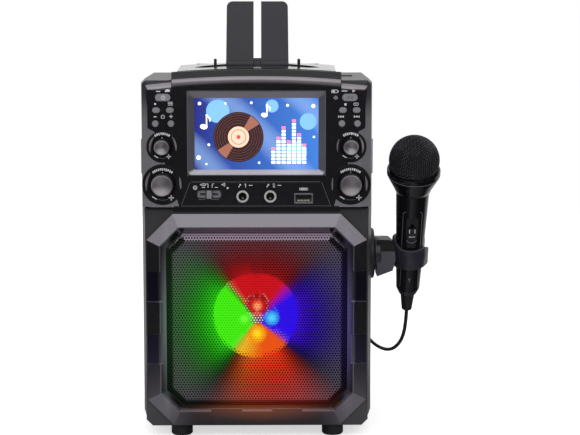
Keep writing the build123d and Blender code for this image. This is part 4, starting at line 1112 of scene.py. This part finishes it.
def make_knobs():
    """A black skirt under a dished silver cap, over a dial with painted highlights as silver crescents and
    a scale of ticks.
    """
    highlight_crescents, scale, faint = [], [], []
    for name, (x, z, dial, cap, arcs) in KNOBS.items():
        skirt = [(0.5, 1.1), (cap + 1.6, 1.1), (cap + 1.6, 0.4), (cap + 0.9, -1.0), (cap, -5.0),
                 (cap, -8.9), (cap - 0.5, -9.5), (0.5, -9.5)]
        dish = [(cap - 0.2, -9.2), (cap - 0.2, -9.9), (cap - 0.45, -10.55), (cap - 0.9, -10.9),
                (cap - 1.3, -10.85)]
        dish += [((cap - 1.4) * (1 - i / 8), -10.8 + 1.25 * (1 - (1 - i / 8) ** 2)) for i in range(1, 9)]
        body = lathe(name + "_skirt", skirt, knob_black, x, z, 64, body=name, slot="knob_silver")
        top = lathe(name + "_cap", dish, cap_metal, x, z, 64, body=name, slot="knob_silver")
        tick = plates(name + "_index", strokes([[(x, z + cap + 0.2), (x, z + cap + 1.0)]], 0.7),
                      -1.15, -0.6, print_ink, name, "knob_silver")
        for made in (body, top, tick):
            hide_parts(name)
        steps = 20
        # silver crescents: painted highlights on the dial's ring
        for inner, outer, start, end in arcs:
            rim, hollow = arc(x, z, outer, start, end, steps), []
            for i, place in enumerate(rim):
                depth = (outer - inner) * math.sin(math.pi * i / steps) ** 0.6
                hollow.append(part_way(place, (x, z), depth / outer))
            highlight_crescents += [[hollow[i], rim[i], rim[i + 1], hollow[i + 1]] for i in range(steps)]
        inner, outer, first, last, count, far, size = SCALES[dial]
        for i in range(count):
            middle = first + (last - first) * (i + 0.5) / count
            half = (last - first) / count * (0.30 if i % 3 else 0.38)
            scale += band(x, z, inner if i % 2 else inner + 0.2, outer, middle - half, middle + half, 2)
        for sign, angle in (("minus", 238), ("plus", -57)):
            tilt = math.radians(angle + 90) if sign == "minus" else 0.0
            px, pz = x + far * math.cos(math.radians(angle)), z + far * math.sin(math.radians(angle))
            dx, dz = size * math.cos(tilt), size * math.sin(tilt)
            scale += strokes([[(px - dx, pz - dz), (px + dx, pz + dz)]], 0.75)
            if sign == "plus":
                scale += strokes([[(px + dz, pz - dx), (px - dz, pz + dx)]], 0.75)
        faint += band(x, z, far - 0.2, far + 0.2, 250, 291, 12)
    plates("dial_painted_highlights", highlight_crescents, -0.8, -0.1, silver_lacquer, slot="trim_silver")
    plates("dial_scales", scale, -0.76, -0.66, print_ink, slot="trim_silver")
    plates("dial_arcs", faint, -0.06, 0.0, dim_ink_and_edge_highlight, slot="trim_silver")


make_knobs()


# ---------------------------------------------------------------- marks on the panel
def mic_icon(x, z, size):
    """A small microphone: a round head over a short slanted handle."""
    return [disc(x + 0.3 * size, z + 0.3 * size, 0.36 * size, 16),
            [(x - 0.6 * size, z - 0.75 * size), (x - 0.35 * size, z - 0.85 * size), (x + 0.35 * size, z),
             (x, z + 0.25 * size)]]


def figure(kind, x, z, size):
    """The figures 1 and 2 as strokes."""
    lines = {1: [(-0.3, 0.55), (0.05, 0.9), (0.05, -0.9)],
             2: [(-0.5, 0.55), (-0.1, 0.9), (0.4, 0.7), (0.35, 0.2), (-0.5, -0.85), (0.5, -0.85)]}[kind]
    return strokes([[(x + a * size, z + b * size) for a, b in lines]], 0.32 * size)


THIN = 0.45  # the width of most printed lines
INK = 0.06  # how far printing stands out


def panel_marks():
    """Generic marks in pale ink: triangles, squares, rings, plus, minus, a battery, microphones, 1, 2."""
    bars = [(-75.5, 273.7, 3.2, 0.7), (-78.0, 254.2, 2.4, 0.6), (59.5, 273.65, 1.8, 1.2),
            (63.1, 273.65, 0.5, 1.0), (67.8, 273.9, 4.4, 0.7), (68.6, 263.6, 1.7, 1.7),
            (63.3, 254.2, 0.5, 1.8), (79.2, 254.2, 0.5, 1.8),
            # over the switch and the sockets
            (-41.2, 199.5, 2.6, 0.5), (-31.2, 199.5, 2.4, 0.5), (-4.6, 201.0, 3.0, 0.5),
            (17.6, 201.0, 3.0, 0.5)]
    arrows = [(75.1, 274.0, 2.2, 1), (64.6, 254.2, 1.8, -1), (66.5, 254.2, 1.8, -1), (76.0, 254.2, 1.8, 1),
              (77.9, 254.2, 1.8, 1), (-22.1, 199.0, 1.8, 1)]
    rings = [(75.9, 263.8, 0.75, 1.15, 20), (77.6, 263.8, 0.75, 1.15, 20), (-47.6, 199.2, 1.1, 1.6, 24)]
    lines = [[(-67.8, z), (-64.6, z)] for z in (263.2, 264.3, 265.4)]
    lines += [box_line(-73.2, 253.0, -70.9, 255.3), box_line(57.9, 272.6, 62.6, 274.7),
              # a battery, two brackets and a memory stick
              box_line(-42.6, 202.2, -39.4, 200.9), [(-43.4, 201.9), (-43.4, 201.2)],
              [(-38.8, 202.2), (-37.6, 202.2), (-37.6, 199.3)],
              [(-33.2, 202.2), (-34.4, 202.2), (-34.4, 199.3)],
              box_line(33.2, 198.8, 39.6, 197.4), [(34.6, 198.1), (38.2, 198.1)]]
    shapes = [bar(*place) for place in bars] + [arrow(*place) for place in arrows] + strokes(lines, THIN)
    shapes += [quad for *place, steps in rings for quad in band(*place, steps=steps)]
    shapes += plus(-65.8, 254.4, 2.6, 0.6)
    shapes += [disc(-77.9, 264.0, 0.8, 16), disc(-47.6, 199.2, 0.45, 12), disc(-26.6, 201.6, 0.5, 12)]
    shapes += [quad for reach in (1.0, 1.9) for quad in band(-26.6, 201.6, reach, reach + 0.4, -48, 48, 8)]
    shapes += [[(-70.6, 273.2), (-66.4, 273.4), (-67.0, 275.4), (-69.4, 275.2)]]
    shapes += mic_icon(-13.2, 200.9, 1.8) + figure(1, -8.6, 201.0, 1.5)
    return shapes + mic_icon(8.6, 200.9, 1.8) + figure(2, 13.4, 201.0, 1.5)


def rear_marks():
    """Beside the sockets on the back: headphones, three arrows, and a plug with its centre marked plus."""
    shapes = band(-69.5, 194.4, 1.7, 2.2, 10, 170, 14) + [bar(x, 193.8, 0.9, 1.8) for x in (-71.3, -67.7)]
    for z in (180.0, 165.0, 150.0):
        shapes += [arrow(-70.3, z, 2.0, -1), bar(-68.2, z, 2.2, 0.5)]
    shapes += strokes([[(-52.0, 187.5), (-50.5, 186.0), (-50.5, 144.0), (-52.0, 142.5)]], THIN)
    shapes += [disc(-70.5, 40.0, 0.6, 12)] + band(-70.5, 40.0, 1.3, 1.75, 30, 330, 20)
    shapes += [bar(x, 40.0, width, THIN) for x, width in ((-68.6, 2.6), (-73.2, 1.8), (-75.3, 1.5))]
    return shapes + plus(-65.9, 40.0, 1.5, THIN)


def make_marks():
    """The printing on the panel, on two of the keys and on the back, and dim lines of painted highlight
    along the edges of the sockets' plate and under the switch.
    """
    plates("panel_marks", panel_marks(), -INK, 0.0, print_ink, slot="black_gloss")
    # dim lines: painted highlight along the edges of the sockets' plate and under the switch
    lines = strokes([[(-50.2, 203.7), (49.0, 203.7)], [(50.6, 203.2), (57.2, 185.6)],
                     [(-51.6, 203.2), (-58.2, 185.6)], [(-57.9, 184.9), (57.9, 184.9)],
                     [(-44.7, 190.0), (-39.9, 190.0)], [(-35.3, 190.0), (-29.5, 190.0)]], 0.35)
    plates("panel_edge_highlights", lines, -0.05, 0.0, dim_ink_and_edge_highlight, slot="black_gloss")
    power = strokes([[(-71.6, 269.2), (-71.6, 270.9)]], 0.5) + band(-71.6, 268.9, 1.15, 1.6, 118, 422, 24)
    plates("power_mark", power, -1.25, -1.15, print_ink, "button_power", "button_grey")
    play = [arrow(71.0, 269.0, 2.0, 1), bar(73.0, 269.0, 0.5, 2.0), bar(74.0, 269.0, 0.5, 2.0)]
    plates("play_mark", play, -1.25, -1.15, dim_ink_and_edge_highlight, "button_play", "button_grey")
    plates("socket_marks", rear_marks(), BACK_Y - 0.1, BACK_Y + INK, print_ink, slot="black_gloss")


make_marks()


# ---------------------------------------------------------------- sockets, port, switch and power light
SOCKETS = {"left": -10.9, "right": 10.6}
SOCKET_Z, PORT_X = 192.4, 36.4
SWITCH_X, SWITCH_Z = -36.8, 193.9


def make_sockets():
    """Black throats in the nickel rings, a gold leaf in each; the port's black mouth and its contacts."""
    throat = [(3.2, -0.9), (3.1, 0.4), (3.05, 12.0), (0.2, 12.2)]
    for side, x in SOCKETS.items():
        lathe("socket_throat_" + side, throat, black_abs, x, SOCKET_Z, 48, slot="steel_parts")
    leaves = [bar(x, 190.3, 1.5, 0.8) for x in SOCKETS.values()]
    contacts = [bar(PORT_X + dx, 189.3, 1.7, 0.6) for dx in (-3.6, -1.25, 1.25, 3.6)]
    for name, shapes, front, behind, material in (
            ("socket_leaves", leaves, 5.0, 8.0, gold_flash),
            ("port_mouth", [bar(PORT_X, 191.05, 12.2, 5.0)], 6.0, 6.6, black_abs),
            ("port_tongue", [bar(PORT_X, 189.8, 11.0, 1.5)], 0.4, 6.2, black_abs),
            ("port_contacts", contacts, 0.3, 6.0, gold_flash)):
        plates(name, shapes, front, behind, material, slot="steel_parts")
    # each pad leaves a slot open, along which the lever's stem travels
    half = [(-0.95, 0.87), (3.3, 0.87), (3.3, 2.9), (-2.2, 2.9), (-3.3, 2.0), (-3.3, 0.87)]
    pads = []
    for way in (1, -1):
        middle = SWITCH_X - 6 * way
        pads += [[(middle + way * x, SWITCH_Z + up * z) for x, z in half] for up in (1, -1)]
        pads.append(bar(middle - way * 2.125, SWITCH_Z, 2.35, 1.74))
    plates("switch_pads", pads, 1.95, 2.3, pad_abs, slot="black_satin")
    plates("switch_liner", [bar(SWITCH_X, SWITCH_Z, 20.6, 7.8)], 5.75, 6.1, pad_abs, slot="black_satin")
    # The unlit power light's pipe is drawn pale by a painted glow
    gem = glowing("light_pipe_painted_glow", "8f9098", 0.6)
    diamond = [(61.1, 270.5), (59.2, 268.7), (61.1, 266.9), (63.0, 268.7)]
    plates("power_light_gem", [diamond], -0.5, 0.4, gem, slot="light_red")


make_sockets()


# ---------------------------------------------------------------- the microphone's collar, marks and clip
MIC_SIDE = Vector((1, 0, 0))
MIC_FRONT = Vector((0, -math.cos(MIC_LEAN), -math.sin(MIC_LEAN)))


def on_mic(s, radius, angle):
    """A place s along the microphone from the clip's middle, its angle counted from right to front."""
    a = math.radians(angle)
    return at(*(CLIP_CENTRE + MIC_AXIS * s + (MIC_SIDE * math.cos(a) + MIC_FRONT * math.sin(a)) * radius))


def rings_on_mic(profile):
    """Rings round the microphone, from (place along it, radius) pairs."""
    return [[on_mic(s, radius, 360 * k / 64) for k in range(64)] for s, radius in profile]


SWITCH_FACE = 13.06  # how far the microphone's switch stands out from its axis


def handle_radius(s):
    return 10.9 + (0.036 if s > 0 else 0.045) * s


def make_collar():
    """The flared collar with a thin rolled rim that the ball sits in."""
    flare = rings_on_mic(((65.0, 5.0), (65.0, 13.6), (65.4, 14.1), (69.0, 15.4), (74.5, 18.3),
                          (78.5, 20.2), (80.2, 20.9), (81.4, 21.15), (84.2, 21.15), (84.9, 20.7),
                          (85.0, 19.6), (84.0, 18.4), (80.0, 15.0)))
    collar = skin("mic_collar_flared", flare, mic_gloss, True, body="microphone", slot="mic_black",
                  angle=40)
    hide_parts("mic_collar")
    seam = rings_on_mic(((80.7, 21.0), (80.8, 21.2), (81.0, 21.2), (81.1, 21.05)))
    skin("mic_collar_seam", seam, pad_abs, True, body="microphone", slot="mic_black")


def make_handle_marks():
    """The inset panel's fine edges, an arc under the switch, a small mark below, and the switch's rails."""
    half_edge = [(7.6, 16), (7.6, 49), (7.0, 50.6), (5.6, 51.3)]
    edges = [[(-x, s) for x, s in half_edge] + half_edge[::-1]]
    edges += [[(x, -4), (x, -24)] for x in (-7.2, 7.2)]
    smile = [[(x, 24.2 - 1.9 * math.cos(x / 3.8 * math.pi / 2))
              for x in (-3.8, -2.9, -1.9, -1, 0, 1, 1.9, 2.9, 3.8)]]
    mark = [[(-0.9, -13.6), (0, -15.2)], [(0.9, -13.6), (0, -15.2)], [(0, -15.2), (0, -16.8)]]
    rails = [[(-2.1, 28.6), (-2.1, 35.6)], [(2.2, 28.6), (2.2, 35.6)], [(-1.6, 28.8), (1.8, 28.8)]]
    for name, drawn, width, ink, lift in (("mic_panel_edges", edges, 0.5, dim_ink_and_edge_highlight, 0.08),
                                          ("mic_arc", smile, 0.45, key_abs, 0.10),
                                          ("mic_mark", mark, 0.4, key_abs, 0.10),
                                          ("mic_switch_rails", rails, 0.55, print_ink, None)):
        points, body = [], "microphone" if lift else "mic_switch"
        for x, s in (place for shape in strokes(drawn, width) for place in shape):
            if lift:  # laid round the handle
                radius = handle_radius(s) + lift
                angle = math.degrees(math.acos(max(-1.0, min(1.0, x / radius))))
                points.append(on_mic(s, radius, angle))
            else:  # flat on the switch
                points.append(at(*(CLIP_CENTRE + MIC_AXIS * s + MIC_SIDE * x + MIC_FRONT * SWITCH_FACE)))
        quads = [list(range(i, i + 4)) for i in range(0, len(points), 4)]
        piece(name, points, quads, ink, body, "mic_black")


HUB_X, HUB_Y, HUB_Z = 95.0, 60.0, 139.0
CLIP_START, CLIP_END = 8, 331  # degrees round the handle, as on_mic counts them


def make_clip():
    """The open band round the handle, its short arm in three tones, and the hub."""
    rows = []
    for step in range(45):
        angle = CLIP_START + (CLIP_END - CLIP_START) * step / 44
        left = eased((angle - 115) / 60) * (1 - eased((angle - 200) / 60))
        top, low = 15.5 + 4.0 * left, -3.0 - 1.5 * left
        ending = eased((34 - angle) / 26)  # towards the first end, which is lower and flares
        top, low = top - 3.2 * ending, low - 0.4 * ending
        flare = 1.1 * eased((30 - angle) / 22)
        inner, outer = handle_radius(20) + 0.3 + flare, 14.6 + 0.6 * flare
        section = ((low, inner), (low, outer - 0.7), (low + 0.7, outer), (top - 0.7, outer),
                   (top, outer - 0.7), (top, inner))
        rows.append([on_mic(s, radius, angle) for s, radius in section])
    clip = skin("mic_clip_band", rows, holder_abs, joined=True, capped=True, body="mic_holder",
                slot="black_satin", angle=50)
    root = HUB_X + 1.8  # where the arm's three parts start on the hub
    cheek = [(root, 121.5), (109.5, 126.3), (111.8, 134.5), (111.2, 142.0), (root, 142.0)]
    upper = [(root, 142.0), (111.8, 142.0), (111.8, 146.6), (109.5, 149.5), (106.0, 151.0), (root, 151.0)]
    roof = [(root, 149.6), (110.2, 149.0), (107.0, 151.4), (root, 151.6)]
    arm = [plates("mic_arm_" + name, [outline], HUB_Y - front, HUB_Y + behind, material, "mic_holder",
                  "black_satin")
           for name, outline, front, behind, material in (("cheek", cheek, 12.6, 12.6, cheek_abs),
                                                          ("upper", upper, 11.6, 12.6, knob_black),
                                                          ("roof", roof, 12.8, 12.8, knob_black))]
    rings = [[at(HUB_X + x, HUB_Y + r * math.cos(a), HUB_Z + r * math.sin(a)) for a in round_angles(48)]
             for x, r in ((0, 6.1), (0, 13.4), (0.6, 14.0), (4.4, 14.0), (5.0, 13.4), (5.0, 6.1))]
    hub = skin("mic_arm_hub", rings, holder_abs, True, body="mic_holder", slot="black_satin", angle=40)
    for made in (clip, *arm, hub):
        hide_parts("mic_holder")


make_collar()
make_handle_marks()
make_clip()


# ---------------------------------------------------------------- floor, background and lamp
WHITE = (1, 1, 1, 1)


def make_floor():
    """A pale floor that looks white where it is lit, keeps the machine's shadow, and mirrors dimly."""
    bpy.ops.mesh.primitive_plane_add(size=2.6, location=at(0.0, 100.0, 0.0))
    floor = bpy.context.object
    floor.name = "floor"
    material, tree = new_material("pale_seamless_paper")
    seen = add(tree, "LightPath")
    tint = blended(tree, grain(tree, 2.0).outputs["Fac"], "e9e9ea", "efeff0")
    paper = add(tree, "BsdfDiffuse", {}, {"Color": tint})
    lift = add(tree, "Emission", {"Color": WHITE, "Strength": 0.6})
    both = add(tree, "AddShader", {}, {0: paper.outputs[0], 1: lift.outputs[0]})
    # what gloss sees of it: a pale strip along each side of the machine, dark beyond, and pale behind
    place = split(tree)
    aside = add(tree, "Math", {"operation": "ABSOLUTE"}, {0: place["X"]}).outputs[0]
    near = ramped(tree, aside, ((0.05, "6e6e70"), (0.09, "d0d0d2"), (0.15, "9a9a9c"), (0.24, "2c2c2e")))
    far = ramped(tree, aside, ((0.11, "aaaaac"), (0.20, "202022")))
    ahead = spread(tree, place["Y"], 0.0, 1.0, -0.30, -0.45)
    before = add(tree, "Mix", {"data_type": "RGBA"}, {0: ahead, 6: near, 7: far}).outputs[2]
    behind = spread(tree, place["Y"], 0.0, 1.0, 0.06, 0.22)
    around = add(tree, "Mix", {"data_type": "RGBA", 7: linear("f0f0f0")}, {0: behind, 6: before}).outputs[2]
    dim = add(tree, "BsdfDiffuse", {}, {"Color": around})
    unseen = add(tree, "MixShader", {}, {0: seen.outputs["Is Glossy Ray"], 1: paper.outputs[0],
                                         2: dim.outputs[0]})
    shown = add(tree, "MixShader", {}, {0: seen.outputs["Is Camera Ray"], 1: unseen.outputs[0],
                                        2: both.outputs[0]})
    close(tree, shown)
    floor.data.materials.append(material)


def make_world():
    """White to the eye; gloss and glass see a pale backdrop behind and above, and a dim room in front."""
    world = bpy.data.worlds.new("studio")
    bpy.context.scene.world = world
    world.use_nodes = True
    tree = world.node_tree
    tree.nodes.clear()
    seen = add(tree, "LightPath")
    way = split(tree, "Generated")
    aside = add(tree, "Math", {"operation": "ABSOLUTE"}, {0: way["X"]}).outputs[0]
    front = spread(tree, aside, 0.15, 0.03, 0.08, 0.22)
    behind = spread(tree, way["Y"], 0.0, 0.95, -0.1, 0.3)
    above = spread(tree, way["Z"], 0.0, 0.9, 0.45, 0.8)
    higher = add(tree, "Math", {"operation": "MAXIMUM"}, {0: behind, 1: above}).outputs[0]
    room = add(tree, "Math", {"operation": "MAXIMUM"}, {0: higher, 1: front}).outputs[0]
    mirrored = add(tree, "Math", {"operation": "MAXIMUM"}, {0: seen.outputs["Is Glossy Ray"],
                                                            1: seen.outputs["Is Transmission Ray"]})
    plain = add(tree, "Background", {"Color": WHITE, "Strength": 0.72})
    studio = add(tree, "Background", {"Color": WHITE}, {"Strength": room})
    white = add(tree, "Background", {"Color": WHITE, "Strength": 1.0})
    unseen = add(tree, "MixShader", {}, {0: mirrored.outputs[0], 1: plain.outputs[0], 2: studio.outputs[0]})
    shown = add(tree, "MixShader", {}, {0: seen.outputs["Is Camera Ray"], 1: unseen.outputs[0],
                                        2: white.outputs[0]})
    add(tree, "OutputWorld", links={"Surface": shown.outputs[0]})


def make_softbox():
    """One wide soft lamp in front of the machine and above it."""
    data = bpy.data.lights.new("front_softbox", "AREA")
    data.shape = "RECTANGLE"
    data.size, data.size_y = 1.9, 1.1
    data.energy = 6.6
    lamp = bpy.data.objects.new("front_softbox", data)
    lamp.location = at(0, -1250, 820)
    lamp.rotation_euler = (at(0, 0, 150) - lamp.location).to_track_quat("-Z", "Y").to_euler()
    bpy.context.scene.collection.objects.link(lamp)


make_floor()
make_world()
make_softbox()
